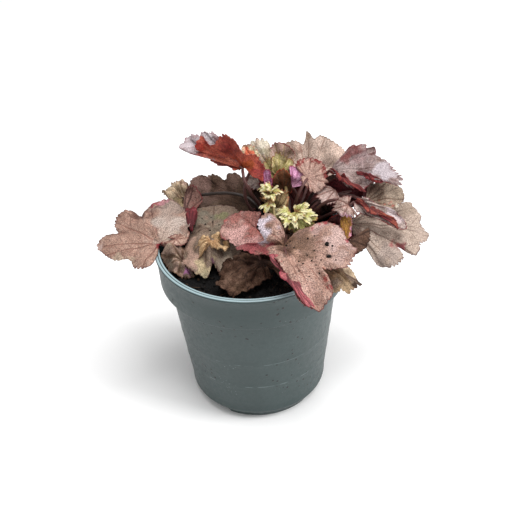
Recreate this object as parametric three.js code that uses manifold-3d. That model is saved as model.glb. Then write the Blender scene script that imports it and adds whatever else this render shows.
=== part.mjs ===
// A potted heuchera: a nursery pot filled with compost, a woody crown set in it, and leaves of many
// ages on stalks that stand in sockets in the crown.
// Millimetres, +Z up. The origin is the centre of the pot's base, on the surface that the pot stands on.
import * as THREE from 'three'
import { mergeVertices } from 'three/addons/utils/BufferGeometryUtils.js'
import Module from 'manifold-3d'

const wasm = await Module()
wasm.setup()

// Driving dimensions of the pot
const POT_HEIGHT = 115
const RIM_RADIUS = 60
const COLLAR_DEPTH = 23
const COLLAR_TAPER = 0.9
const SHOULDER_RADIUS = 54
const BASE_RADIUS = 45
const FOOT_RADIUS = 41
const HEEL_HEIGHT = 10
const WALL = 1.3
const FOOT_HEIGHT = 4
const FOOT_WIDTH = 4
const FOOT_GAP_DEGREES = 42
const FOOT_COUNT = 3
const FRONT_FOOT_DEGREES = -83
const CENTRE_PAD_RADIUS = 7
const DRAIN_COUNT = 6
const DRAIN_RADIUS = 4
const DRAIN_CIRCLE = 30
const POT_SIDES = 36

// Driving dimensions of what grows in it
const GAP = 0.35
const SOIL_DEPTH_BELOW_RIM = 10.5
const CROWN_CENTRE = [22, 14]
const CROWN_RADIUS = 16
const CROWN_RISE = 8
const CROWN_DEPTH = 12
const SOCKET_DEPTH = 6
const SOCKET_RINGS = [3.5, 8.2, 12.6]
const STALK_RADIUS = 1.1
const STALK_SIDES = 5
const STALK_STEP = 9
const STALK_FOOT = 8
const SOCKET_CLEARANCE = 0.6
const STALK_SINK = 0.55
const BLADE = 0.8
const NOTCH = 0.2
const ROUNDNESS = 0.97

const SOIL_TOP = POT_HEIGHT - SOIL_DEPTH_BELOW_RIM
const CROWN_TOP = SOIL_TOP + CROWN_RISE

const radians = THREE.MathUtils.degToRad
const vector = ([x, y, z]) => new THREE.Vector3(x, y, z)

// ---------------------------------------------------------------- solids and meshes

function toSolid(geometry) {
  const bare = geometry.clone()
  bare.deleteAttribute('normal')
  bare.deleteAttribute('uv')
  const merged = mergeVertices(bare, 1e-4)
  const corners = merged.index.array
  const kept = []
  for (let i = 0; i < corners.length; i += 3) {
    const [a, b, c] = [corners[i], corners[i + 1], corners[i + 2]]
    if (a !== b && b !== c && c !== a) kept.push(a, b, c)
  }
  return new wasm.Manifold(new wasm.Mesh({
    numProp: 3,
    vertProperties: new Float32Array(merged.attributes.position.array),
    triVerts: new Uint32Array(kept)
  }))
}

function toGeometry(solid) {
  const { vertProperties, triVerts } = solid.getMesh()
  const geometry = new THREE.BufferGeometry()
  geometry.setAttribute('position', new THREE.BufferAttribute(vertProperties, 3))
  geometry.setIndex(new THREE.BufferAttribute(triVerts, 1))
  geometry.computeVertexNormals()
  return geometry
}

// Booleans can leave crumbs of no volume, so only the largest piece of a solid is kept.
function largest(solid) {
  return solid.decompose().reduce((best, piece) => (piece.volume() > best.volume() ? piece : best))
}

function node(name, solid, color, roughness) {
  const material = new THREE.MeshStandardMaterial({ color, roughness, metalness: 0 })
  const mesh = new THREE.Mesh(toGeometry(solid), material)
  mesh.name = name
  return mesh
}

function turned(profile, sides) {
  const geometry = new THREE.LatheGeometry(profile.map(([r, z]) => new THREE.Vector2(r, z)), sides)
  return geometry.rotateX(Math.PI / 2)
}

// A rod of even section along a curve.
function rod(route, radius, sides, steps) {
  const outline = new THREE.Shape()
  for (let i = 0; i < sides; i++) {
    const angle = (i / sides) * 2 * Math.PI
    const corner = [radius * Math.cos(angle), radius * Math.sin(angle)]
    if (i === 0) outline.moveTo(...corner)
    else outline.lineTo(...corner)
  }
  outline.closePath()
  return toSolid(new THREE.ExtrudeGeometry(outline, { steps, extrudePath: route, bevelEnabled: false }))
}

// ---------------------------------------------------------------- pot

function potSolid() {
  const collarFoot = POT_HEIGHT - COLLAR_DEPTH
  const profile = [
    [0, 0],
    [CENTRE_PAD_RADIUS, 0],
    [CENTRE_PAD_RADIUS, FOOT_HEIGHT],
    [FOOT_RADIUS - FOOT_WIDTH, FOOT_HEIGHT],
    [FOOT_RADIUS - FOOT_WIDTH, 0],
    [FOOT_RADIUS, 0],
    [FOOT_RADIUS + 1.6, FOOT_HEIGHT],
    [BASE_RADIUS, HEEL_HEIGHT],
    [SHOULDER_RADIUS, collarFoot],
    [RIM_RADIUS - COLLAR_TAPER, collarFoot],
    [RIM_RADIUS - 0.3, POT_HEIGHT - 3],
    [RIM_RADIUS + 0.5, POT_HEIGHT - 2.2],
    [RIM_RADIUS + 0.5, POT_HEIGHT - 0.8],
    [RIM_RADIUS - 0.3, POT_HEIGHT],
    [RIM_RADIUS - 1.1, POT_HEIGHT - 0.7],
    [RIM_RADIUS - 1.9, POT_HEIGHT],
    [RIM_RADIUS - 2.3, POT_HEIGHT - 1.4],
    [RIM_RADIUS - COLLAR_TAPER - WALL, collarFoot + WALL],
    [SHOULDER_RADIUS - WALL, collarFoot + WALL],
    [BASE_RADIUS - WALL, HEEL_HEIGHT + WALL],
    [FOOT_RADIUS - 0.4, FOOT_HEIGHT + WALL],
    [0, FOOT_HEIGHT + WALL]
  ]
  let pot = toSolid(turned(profile, POT_SIDES))
  for (let i = 0; i < FOOT_COUNT; i++) {
    pot = pot.subtract(footGap(FRONT_FOOT_DEGREES + (i + 0.5) * (360 / FOOT_COUNT)))
  }
  for (let i = 0; i < DRAIN_COUNT; i++) {
    const angle = (i / DRAIN_COUNT) * 2 * Math.PI
    const drain = new THREE.CylinderGeometry(DRAIN_RADIUS, DRAIN_RADIUS, 8 * WALL, 10)
    drain.rotateX(Math.PI / 2)
    drain.translate(DRAIN_CIRCLE * Math.cos(angle), DRAIN_CIRCLE * Math.sin(angle), FOOT_HEIGHT)
    pot = pot.subtract(toSolid(drain))
  }
  return pot
}

// A wedge that opens the foot ring between two feet.
function footGap(degrees) {
  const apex = 15
  const reach = FOOT_RADIUS + 6
  const half = radians(FOOT_GAP_DEGREES / 2)
  const wedge = new THREE.Shape()
  wedge.moveTo(apex, 0)
  wedge.lineTo(reach * Math.cos(half), -reach * Math.sin(half))
  wedge.lineTo(reach * Math.cos(half), reach * Math.sin(half))
  wedge.closePath()
  const geometry = new THREE.ExtrudeGeometry(wedge, { depth: FOOT_HEIGHT, bevelEnabled: false })
  geometry.translate(0, 0, -1)
  geometry.rotateZ(radians(degrees))
  return toSolid(geometry)
}

// ---------------------------------------------------------------- compost and crown

function soilRelief(x, y) {
  const swell = 0.9 * Math.sin(x * 0.13 + 0.7) * Math.cos(y * 0.16 - 0.4)
  const crumbs = 0.6 * Math.sin(x * 0.61 - y * 0.37) * Math.sin(y * 0.53 + x * 0.21)
  return swell + crumbs
}

function compostSolid() {
  const collarFoot = POT_HEIGHT - COLLAR_DEPTH
  const edge = RIM_RADIUS - COLLAR_TAPER - WALL - GAP
  const profile = [
    [0, FOOT_HEIGHT + WALL + GAP],
    [FOOT_RADIUS - 1, FOOT_HEIGHT + WALL + GAP],
    [BASE_RADIUS - WALL - GAP, HEEL_HEIGHT + WALL + GAP],
    [SHOULDER_RADIUS - WALL - GAP, collarFoot + WALL + GAP],
    [edge, collarFoot + WALL + GAP],
    [edge, SOIL_TOP - 1.5],
    [edge - 3, SOIL_TOP],
    [46, SOIL_TOP],
    [36, SOIL_TOP],
    [26, SOIL_TOP],
    [14, SOIL_TOP],
    [0, SOIL_TOP]
  ]
  const geometry = turned(profile, POT_SIDES)
  const place = geometry.attributes.position
  for (let i = 0; i < place.count; i++) {
    if (place.getZ(i) > SOIL_TOP - 0.1) place.setZ(i, SOIL_TOP + soilRelief(place.getX(i), place.getY(i)))
  }
  return toSolid(geometry)
}

function crownSolid(extra) {
  const r = CROWN_RADIUS + extra
  const top = CROWN_TOP + extra
  const geometry = turned([
    [0, SOIL_TOP - CROWN_DEPTH - extra],
    [r * 0.55, SOIL_TOP - CROWN_DEPTH - extra],
    [r * 0.9, SOIL_TOP - CROWN_DEPTH * 0.5],
    [r, SOIL_TOP + 1],
    [r * 0.86, top - CROWN_RISE * 0.35],
    [r * 0.5, top - CROWN_RISE * 0.08],
    [0, top]
  ], 16)
  geometry.translate(CROWN_CENTRE[0], CROWN_CENTRE[1], 0)
  return toSolid(geometry)
}

// ---------------------------------------------------------------- leaves

// A blade is a fan of lobes. Its middle surface runs straight from the hub to a smooth line through
// the lobe tips, and is then cupped, pleated along the veins, ruffled, and curled at its edge.
// `across` counts lobes from one side of the sinus to the other, and `out` runs from 0 at the hub to
// 1 at the edge.
function bladeSurface(leaf) {
  const { tips, notches = [], curl = [], hinge = 0.8 } = leaf
  const ends = tips.map(vector)
  const size = ends.reduce((sum, end) => sum + end.length(), 0) / ends.length
  const { cup = 0.06 * size, pleat = 0.012 * size, tooth = 0.015, ruffle = 0, crumple = 0 } = leaf
  const normal = new THREE.Vector3()
  for (let i = 1; i < ends.length; i++) normal.add(ends[i - 1].clone().cross(ends[i]))
  normal.normalize()
  if (normal.dot(new THREE.Vector3(0, -0.5, 0.85)) < 0) normal.negate()
  if (leaf.turned) normal.negate()
  const before = ends[0].clone().multiplyScalar(1.6).addScaledVector(ends[1], -0.6)
  const last = ends.length - 1
  const after = ends[last].clone().multiplyScalar(1.6).addScaledVector(ends[last - 1], -0.6)
  const line = [before, ...ends, after]

  function tipAt(across) {
    const i = Math.min(Math.max(Math.floor(across), -1), last)
    const t = across - i
    const pick = (k) => line[Math.min(Math.max(i + 1 + k, 0), line.length - 1)]
    const [a, b, c, d] = [pick(-1), pick(0), pick(1), pick(2)]
    const blend = (p, q, r, s) => 0.5 * (
      2 * q + (r - p) * t +
      (2 * p - 5 * q + 4 * r - s) * t * t +
      (3 * q - p - 3 * r + s) * t * t * t)
    const unit = [a, b, c, d].map((point) => point.clone().normalize())
    const sides = ['x', 'y', 'z'].map((side) => blend(...unit.map((point) => point[side])))
    return new THREE.Vector3(...sides).setLength(blend(a.length(), b.length(), c.length(), d.length()))
  }

  function curlAt(across) {
    const i = Math.min(Math.max(Math.floor(across), 0), last)
    const t = Math.min(Math.max(across - i, 0), 1)
    const ease = t * t * (3 - 2 * t)
    const here = curl[i] ?? 0
    const next = curl[Math.min(i + 1, last)] ?? 0
    return radians(here + (next - here) * ease)
  }

  return {
    normal,
    lobes: ends.length,
    at(across, out) {
      const tip = tipAt(across)
      const offLobe = Math.abs(across - Math.round(across)) * 2
      const notch = notches[Math.floor(across)] ?? NOTCH
      const lobed = 1 - notch * out * fallOff(offLobe)
      const toothed = out === 1 ? -tooth * Math.cos(6 * Math.PI * across) : 0
      const part = out * (lobed + toothed)
      const full = tip.length()
      const away = tip.clone().normalize()
      const bend = curlAt(across)
      let along = full * part
      let lift = 0
      if (part > hinge && Math.abs(bend) > 0.01) {
        const turn = bend * (part - hinge) / (1 - hinge)
        const radius = full * (1 - hinge) / bend
        along = full * hinge + radius * Math.sin(turn)
        lift = radius * (1 - Math.cos(turn))
      }
      const bowl = cup * 4 * part * (1 - part)
      const veins = -pleat * part * Math.cos(2 * Math.PI * across)
      const waves = ruffle * part * part * Math.sin(4 * Math.PI * across + leaf.hub[0])
      const creases = crumple * part * Math.sin(7 * across + 5 * part + leaf.hub[1])
      return away.multiplyScalar(along).addScaledVector(normal, lift + bowl + veins + waves + creases)
    }
  }
}

// How far a rounded lobe has fallen back, from 0 on its tip to 1 in the notch beside it.
function fallOff(offLobe) {
  const arc = (x) => 1 - Math.sqrt(1 - (ROUNDNESS * x) ** 2)
  return arc(offLobe) / arc(1)
}

// The same triangles are laid on both faces of the blade, half its thickness to each side.
function bladeSolid(leaf) {
  const surface = bladeSurface(leaf)
  const per = leaf.per ?? 6
  const columns = per * surface.lobes
  const outs = leaf.small ? [0, 0.55, 1] : [0, 0.3, 0.62, 1]
  const hubColumn = 0
  const middle = [surface.at(surface.lobes / 2 - 0.5, 0)]
  const grid = [[hubColumn]]
  for (let ring = 1; ring < outs.length; ring++) {
    const stride = ring === outs.length - 1 ? 1 : per / 2
    const row = []
    for (let i = 0; i <= columns; i += stride) {
      row.push(middle.length)
      middle.push(surface.at(i / per - 0.5, outs[ring]))
    }
    grid.push(row)
  }
  const faces = []
  const inner = grid[1]
  for (let i = 1; i < inner.length; i++) faces.push([hubColumn, inner[i - 1], inner[i]])
  for (let ring = 2; ring < grid.length; ring++) {
    const near = grid[ring - 1]
    const far = grid[ring]
    const per = (far.length - 1) / (near.length - 1)
    for (let i = 1; i < near.length; i++) {
      const start = (i - 1) * per
      const half = start + Math.ceil(per / 2)
      for (let j = start + 1; j <= half; j++) faces.push([near[i - 1], far[j - 1], far[j]])
      faces.push([near[i - 1], far[half], near[i]])
      for (let j = half + 1; j <= start + per; j++) faces.push([near[i], far[j - 1], far[j]])
    }
  }
  const normals = middle.map(() => new THREE.Vector3())
  for (const [a, b, c] of faces) {
    const face = middle[b].clone().sub(middle[a]).cross(middle[c].clone().sub(middle[a]))
    for (const k of [a, b, c]) normals[k].add(face)
  }
  const count = middle.length
  const half = (leaf.blade ?? BLADE) / 2
  const positions = []
  for (const side of [1, -1]) {
    for (let k = 0; k < count; k++) {
      const shift = normals[k].clone().normalize().multiplyScalar(side * half)
      const point = middle[k].clone().add(shift).add(vector(leaf.hub))
      positions.push(point.x, point.y, point.z)
    }
  }
  const edge = [
    ...grid.map((row) => row[0]),
    ...grid[grid.length - 1].slice(1, -1),
    ...grid.map((row) => row[row.length - 1]).reverse().slice(0, -1)
  ]
  const corners = []
  for (const [a, b, c] of faces) corners.push(a, b, c, count + a, count + c, count + b)
  for (let i = 0; i < edge.length; i++) {
    const a = edge[i]
    const b = edge[(i + 1) % edge.length]
    corners.push(a, count + a, b, b, count + a, count + b)
  }
  const geometry = new THREE.BufferGeometry()
  geometry.setAttribute('position', new THREE.BufferAttribute(new Float32Array(positions), 3))
  geometry.setIndex(corners)
  return { solid: toSolid(geometry), surface }
}

// A stalk stands straight in its socket, then arches over, and ends sunk in the underside of the
// blade, along its middle vein.
function stalkOf(leaf, normal, vein) {
  const [ring, degrees] = leaf.root
  const angle = radians(degrees)
  const out = new THREE.Vector3(Math.cos(angle), Math.sin(angle), 0)
  const root = new THREE.Vector3(...CROWN_CENTRE, 0).addScaledVector(out, SOCKET_RINGS[ring])
  root.z = CROWN_TOP - SOCKET_DEPTH - ring * 1.5
  const rise = out.clone().multiplyScalar(0.15 + ring * 0.3).add(new THREE.Vector3(0, 0, 1)).normalize()
  const neck = root.clone().addScaledVector(rise, STALK_FOOT)
  const under = vector(leaf.hub).addScaledVector(normal, -STALK_SINK)
  const span = under.distanceTo(neck)
  const lean = neck.clone().addScaledVector(rise, span * 0.35)
  const reach = under.clone().addScaledVector(under.clone().sub(neck), -0.3)
  const [swayX, swayY, swayZ] = leaf.sway ?? [0, 0, 0]
  for (const point of [lean, reach]) point.add(new THREE.Vector3(swayX, swayY, swayZ))
  const route = new THREE.CurvePath()
  route.add(new THREE.LineCurve3(root, neck))
  route.add(new THREE.CubicBezierCurve3(neck, lean, reach, under))
  const arrivesFromBehind = under.clone().sub(reach).dot(vein) > 0
  if (arrivesFromBehind) route.add(new THREE.LineCurve3(under, under.clone().add(vein)))
  const bottom = root.clone().addScaledVector(rise, -GAP)
  const socket = rod(new THREE.LineCurve3(bottom, neck), STALK_RADIUS + SOCKET_CLEARANCE, 5, 1)
  const steps = Math.max(5, Math.round(route.getLength() / STALK_STEP))
  const stalk = rod(route, STALK_RADIUS, STALK_SIDES, steps)
  return { stalk, socket }
}

// A leaf that is folded along its middle vein has a second fan, its wing, behind the first.
function leafSolid(leaf) {
  const { solid, surface } = bladeSolid(leaf)
  const vein = surface.at((surface.lobes - 1) / 2, 0.12)
  const { stalk, socket } = stalkOf(leaf, surface.normal, vein)
  let whole = solid.add(stalk)
  if (leaf.wing) whole = whole.add(bladeSolid({ ...leaf, tips: leaf.wing, notches: leaf.wingNotches }).solid)
  return { solid: whole, socket }
}

// Each leaf: its hub, where the stalk meets the blade, and the tips of its lobes from there.
// `root` is the ring of the crown that it grows from and its bearing.
const LEAVES = [
  {
    name: 'leaf_far_left',
    color: 0x8a6a60,
    hub: [-56.5, -3.5, 118.5],
    tips: [
      [-10, -18, -5], [-26, -6, -6], [-40, 7, -6], [-33, 16, -2], [-29, 25, 1], [-19, 29, 4],
      [-6, 33, 8], [3, 34, 9], [16, 28, 8], [19, 11, 4], [14, -2, 0]
    ],
    notches: [0.18, 0.03, 0.03, 0.16, 0.04, 0.16, 0.05, 0.1, 0.02, 0.02],
    cup: 2,
    per: 4,
    sway: [6, 6, -7],
    root: [2, 183]
  },
  {
    name: 'leaf_left_dried',
    color: 0x9c866c,
    hub: [-42.5, 42.5, 121],
    tips: [[1, -4, -4], [-5, -3, -3], [-13, 6, 1], [-9, 11, 4], [-2, 13, 6], [4, 9, 4]],
    notches: [0.1, 0.1, 0.1, 0.1, 0.1],
    crumple: 0.8,
    cup: 0.5,
    small: true,
    per: 4,
    sway: [6, -6, 14],
    root: [2, 141]
  },
  {
    name: 'leaf_left_folded',
    color: 0x5d3f38,
    hub: [-41, 22.9, 120.4],
    tips: [[-1, 6, 3], [1, 15, 10], [6, 16, 12], [11, 9, 7], [8, 3, 4]],
    notches: [0.05, 0.05, 0.05, 0.05],
    cup: 1,
    small: true,
    per: 4,
    sway: [-7, 0, -9],
    root: [2, 167]
  },
  {
    name: 'leaf_back_left_dark',
    color: 0x4a3a30,
    hub: [3.5, 32.5, 116],
    tips: [
      [-18, -5, -2], [-31, -2, -2], [-38, 11, 0], [-42, 27, 4], [-35, 29, 8], [-26, 26, 10],
      [-14, 27, 12], [-8, 23, 11], [1, 18, 9], [8, 8, 6]
    ],
    notches: [0, 0, 0.02, 0.02, 0.03, 0.14, 0.03, 0.1, 0.05],
    cup: 1,
    per: 4,
    sway: [-8, -2, 5],
    root: [1, 180]
  },
  {
    name: 'leaf_front_left',
    color: 0x7b6f62,
    hub: [-23.5, 4.3, 122.4],
    tips: [
      [20, 2, 0], [20, -11, -2], [15, -19, -10], [10, -31, -14], [3, -28, -13], [-4, -31, -14],
      [-10, -30, -14], [-16, -26, -12], [-20, -12, -8], [-14, 3, -4], [-13, 19, -2], [-4, 27, -1],
      [9, 23, -1]
    ],
    notches: [0, 0.05, 0.08, 0.04, 0.42, 0.02, 0.16, 0.12, 0.1, 0.05, 0.03, 0.03],
    cup: 3,
    per: 4,
    sway: [5, -8, 0],
    root: [1, 197]
  },
  {
    name: 'leaf_front_rosy',
    color: 0xa27a74,
    hub: [3, -8.5, 129],
    tips: [
      [7, -13, -5], [-4, -12, -5], [-14, -9, -4], [-21, -4, -2], [-16, 14, 1], [-7, 14, 4], [2, 10, 5]
    ],
    notches: [0.03, 0.05, 0.08, 0.15, 0.08, 0.05],
    per: 4,
    sway: [-2, 2, -1],
    root: [1, 240]
  },
  {
    name: 'leaf_front_right',
    color: 0xa98378,
    hub: [18.5, -37, 135],
    tips: [
      [2, 15, 7], [-3, 20, 12], [-11, 21, 12], [-14, 12, 8], [-11, 4, 3], [-27, 11, -6],
      [-15, 0, -3], [-5, -10, 1], [3, -29, -4], [10, -42, -10], [16, -45, -12], [24, -39, -9],
      [26, -30, -7], [27, -20, -4], [36, -18, -2], [43, -6, 0], [40, 3, 2], [36, 14, 4], [27, 19, 4],
      [17, 15, 4]
    ],
    notches: [
      0.02, 0.02, 0.02, 0.02, 0.02, 0.02, 0.02, 0.02, 0.02, 0.03, 0.08, 0.1, 0.3, 0.05, 0.06, 0.08,
      0.08, 0.05, 0.03
    ],
    cup: 2,
    per: 4,
    sway: [1, -7, 3],
    root: [1, 265]
  },
  {
    name: 'leaf_right_low',
    color: 0x6a5640,
    hub: [40, -38.6, 120.7],
    tips: [
      [0, -18, -4], [6, -19, -6], [14, -19, -6], [18, -16, -6], [22, -15, -4], [21, -10, -4],
      [19, -5, -2], [16, 1, 0]
    ],
    notches: [0.05, 0.08, 0.05, 0.06, 0.03, 0.03, 0.05],
    cup: 3,
    per: 4,
    sway: [-5, 0, -6],
    root: [2, 273]
  },
  {
    name: 'leaf_right',
    color: 0x7f7068,
    hub: [61.5, 2.8, 121.4],
    tips: [
      [5, -13, -5], [14, -27, -14], [22, -31, -15], [29, -28, -14], [35, -23, -11], [39, -19, -10],
      [48, -9, -10], [48, 3, -7], [45, 14, -4], [37, 16, -1], [23, 15, 2]
    ],
    notches: [0.04, 0.03, 0.03, 0.38, 0.05, 0.08, 0.05, 0.12, 0.05, 0.05],
    cup: 2,
    per: 4,
    sway: [-5, -3, 0],
    root: [2, 349]
  },
  {
    name: 'leaf_back_right',
    color: 0x93848a,
    hub: [51, 22.6, 147.9],
    tips: [
      [10, -8, -4], [22, -12, -7], [33, -12, -6], [43, -12, -4], [42, -4, 0], [35, 3, 4],
      [30, 9, 10], [22, 12, 12], [15, 12, 10]
    ],
    notches: [0.02, 0.28, 0.05, 0.05, 0.1, 0.12, 0.1, 0.1],
    per: 4,
    sway: [6, 3, 9],
    root: [1, 39]
  },
  {
    name: 'leaf_right_back_low',
    color: 0x73675a,
    hub: [72, 11.5, 130],
    tips: [[7, -7, -2], [18, -7, -1], [24, -1, 1], [23, 7, 5], [16, 10, 8], [6, 8, 10]],
    notches: [0.05, 0.08, 0.05, 0.08, 0.08],
    per: 4,
    sway: [3, -5, 15],
    root: [2, 30]
  },
  {
    name: 'leaf_back',
    color: 0xb59f92,
    hub: [38.5, 39.9, 127.2],
    tips: [
      [-17, 7, 7], [-19, 14, 13], [-15, 19, 17], [-8, 19, 19], [-4, 15, 18], [1, 21, 23],
      [4, 16, 21], [9, 15, 23], [16, 12, 22], [21, 7, 18], [25, 3, 13], [21, 0, 8]
    ],
    notches: [0.02, 0.02, 0.02, 0.02, 0.12, 0.08, 0.02, 0.02, 0.02, 0.02, 0.02],
    cup: 1,
    per: 4,
    sway: [-3, -6, -7],
    root: [1, 57]
  },
  {
    name: 'leaf_back_left_arching',
    color: 0x8b3a30,
    hub: [-2.5, 22.6, 152.8],
    tips: [
      [-6, 1, -1], [-14, 4, 0], [-19, 9, 3], [-28, 9, 10], [-25, 10, 17], [-18, 3, 16], [-14, 2, 20],
      [-9, 1, 24], [-4, -3, 21], [0, -6, 14], [7, -3, 10], [12, -6, 2], [11, -12, -3]
    ],
    wing: [[-39, 16, 9], [-36, 21, 12], [-31, 20, 14], [-23, 18, 17], [-18, 15, 18], [-13, 10, 17]],
    notches: [0.05, 0.05, 0.1, 0, 0.02, 0.02, 0.02, 0.05, 0.03, 0.03, 0.08, 0.05],
    wingNotches: [0.05, 0.1, 0.1, 0.1, 0.08],
    turned: true,
    per: 4,
    sway: [-6, -14, 9],
    root: [1, 131]
  },
  {
    name: 'leaf_back_middle',
    color: 0xab9c8a,
    hub: [15.5, 29.7, 145.3],
    tips: [
      [-14, 2, 2], [-16, 9, 6], [-13, 13, 12], [-6, 12, 17], [0, 9, 15], [5, 8, 11], [11, 8, 7]
    ],
    notches: [0.1, 0.12, 0.12, 0.12, 0.12, 0.1],
    per: 4,
    sway: [2, -7, -16],
    root: [1, 111]
  },
  {
    name: 'leaf_lilac',
    color: 0xc592b4,
    hub: [27.5, 21.5, 137.5],
    tips: [[8, 2, 2], [9, 5, 6], [5, 7, 10], [0, 8, 11]],
    notches: [0.05, 0.05, 0.05],
    small: true,
    per: 4,
    sway: [7, -2, -1],
    root: [1, 85]
  },
  {
    name: 'leaf_middle_red_edged',
    color: 0x8a6a60,
    hub: [37, 19.6, 144.8],
    tips: [[1, -5, -6], [8, -4, -6], [12, 0, -1], [12, 5, 4], [7, 8, 9], [-1, 9, 10], [-6, 7, 7]],
    notches: [0.1, 0.08, 0.05, 0.05, 0.05, 0.05],
    small: true,
    per: 4,
    sway: [-1, -6, 9],
    root: [0, 16]
  },
  {
    name: 'leaf_right_maroon',
    color: 0x3a1618,
    hub: [65, 23.9, 131.2],
    tips: [[-5, -6, -8], [-15, -4, -7], [-16, 3, -1], [-11, 6, 4], [-2, 4, 4], [8, 1, 1]],
    notches: [0.05, 0.08, 0.05, 0.05, 0.05],
    turned: true,
    small: true,
    per: 4,
    sway: [-6, -5, 5],
    root: [2, 42]
  },
  {
    name: 'leaf_right_small_upper',
    color: 0x85706a,
    hub: [54, 17.1, 136.8],
    tips: [[1, -6, -6], [-8, -8, -5], [-12, -3, -2], [-9, 2, 1]],
    notches: [0.1, 0.1, 0.1],
    small: true,
    per: 4,
    sway: [-5, -5, 3],
    root: [1, 9]
  },
  {
    name: 'leaf_right_small_lower',
    color: 0x97827a,
    hub: [60, -0.6, 136.7],
    tips: [[3, -5, -5], [-4, -5, -4], [-9, -2, -1], [-7, 2, 3], [0, 3, 4]],
    notches: [0.1, 0.1, 0.1, 0.1],
    small: true,
    per: 4,
    sway: [3, -1, 14],
    root: [1, 340]
  },
  {
    name: 'leaf_right_orange_edged',
    color: 0xb0503a,
    hub: [64, 5.3, 135],
    tips: [[8, -10, -4], [28, -19, -10], [29, -14, -6], [22, -9, -1], [11, -4, 2]],
    notches: [0.01, 0.02, 0.05, 0.05],
    small: true,
    per: 4,
    sway: [-1, -8, 3],
    root: [2, 14]
  },
  {
    name: 'leaf_ochre',
    color: 0x9a6a20,
    hub: [57.5, -11.2, 117.9],
    tips: [[4, 5, 4], [4, 10, 10], [-2, 10, 11], [-3, 5, 5]],
    notches: [0, 0.02, 0.02],
    small: true,
    per: 4,
    sway: [-3, -1, -5],
    root: [2, 326]
  },
  {
    name: 'leaf_dead_on_soil',
    color: 0x4d3a30,
    hub: [5.5, -22.5, 114.5],
    tips: [
      [2, -15, -5], [-10, -22, -5], [-19, -26, -4], [-28, -16, -4], [-25, -4, -1], [-14, 3, 3],
      [1, 5, 5], [14, 1, 3], [13, -10, -3]
    ],
    notches: [0.1, 0.15, 0.1, 0.12, 0.15, 0.1, 0.1, 0.1],
    crumple: 0.8,
    per: 4,
    sway: [-6, 0, 5],
    root: [2, 229]
  },
  {
    name: 'leaf_left_low',
    color: 0x6e5c50,
    hub: [-42, -10.7, 108.9],
    tips: [[4, -12, -2], [-5, -10, -2], [-11, -2, -1], [-14, 3, 2], [-10, 8, 4], [-1, 7, 4]],
    notches: [0.12, 0.12, 0.12, 0.12, 0.1],
    cup: 1,
    small: true,
    per: 4,
    sway: [0, 2, -2],
    root: [2, 212]
  },
  {
    name: 'leaf_middle_orange',
    color: 0xc0553a,
    hub: [5.5, 24.4, 155.2],
    tips: [[-5, 3, 0], [-9, 7, 3], [-7, 10, 7], [-1, 8, 7], [2, 5, 4]],
    notches: [0.1, 0.1, 0.1, 0.1],
    small: true,
    per: 4,
    sway: [-13, -4, 1],
    root: [1, 151]
  },
  {
    name: 'leaf_middle_curled',
    color: 0xa08a86,
    hub: [9, 33.9, 138.2],
    tips: [[-2, -4, -6], [-8, -3, -5], [-11, 3, -1], [-7, 5, 2], [-1, 4, 3]],
    notches: [0.1, 0.1, 0.1, 0.1],
    small: true,
    per: 4,
    sway: [-4, -4, -2],
    root: [0, 148]
  },
  {
    name: 'leaf_middle_rust',
    color: 0x7a4028,
    hub: [22, 38.1, 122.9],
    tips: [[-4, 2, 1], [-5, 7, 6], [0, 8, 9], [5, 6, 7], [6, 1, 2]],
    notches: [0.1, 0.1, 0.1, 0.1],
    small: true,
    per: 4,
    sway: [2, 2, 5],
    root: [0, 58]
  },
  {
    name: 'leaf_right_dead',
    color: 0x1d1512,
    hub: [57, -23.5, 126.4],
    tips: [[14, 7, 1], [12, -1, -2], [6, -5, -5]],
    small: true,
    per: 4,
    sway: [-6, -5, 0],
    root: [2, 314]
  },
  {
    name: 'leaf_right_dark',
    color: 0x2a1a18,
    hub: [54, 8.1, 115.3],
    tips: [[-5, 1, 3], [1, 4, 6], [11, 3, 5], [13, -10, 3], [6, -17, 1]],
    small: true,
    per: 4,
    sway: [3, -3, -1],
    root: [2, 0]
  },
  {
    name: 'leaf_back_dark',
    color: 0x2a1a18,
    hub: [35, 29.1, 112.3],
    tips: [
      [-22, 6, 4], [-26, 17, 9], [-14, 25, 11], [2, 26, 11], [14, 20, 9], [20, 8, 5], [13, -4, 2]
    ],
    per: 4,
    sway: [0, 0, 1],
    root: [2, 63]
  }
]

// ---------------------------------------------------------------- young shoots

// A young shoot is a short stem with a whorl of small frilled leaves, steep in the middle and
// lower outside.
const SHOOTS = [
  {
    name: 'shoot_front',
    color: 0xc9c07c,
    tip: [27, 2, 129],
    leaves: 6,
    reach: 13,
    fan: [150, 390],
    low: 12,
    sway: [4, -9, -2],
    root: [0, 287]
  },
  {
    name: 'shoot_middle',
    color: 0xc3b48c,
    tip: [14, 5.6, 141.8],
    leaves: 4,
    reach: 11,
    fan: [110, 320],
    low: -5,
    sway: [0, -21, -2],
    root: [0, 196]
  },
  {
    name: 'shoot_back',
    color: 0xc8bd80,
    tip: [21, 39.6, 139.8],
    leaves: 6,
    reach: 10,
    fan: [130, 400],
    low: -10,
    sway: [4, -12, 6],
    root: [0, 102]
  }
]
const YOUNG_LOBE_SPREAD = 30
const STEEP = 62
const YOUNG_WAVES = { cup: 1.5, ruffle: 1.2, tooth: 0.05, pleat: 0.4 }

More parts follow.
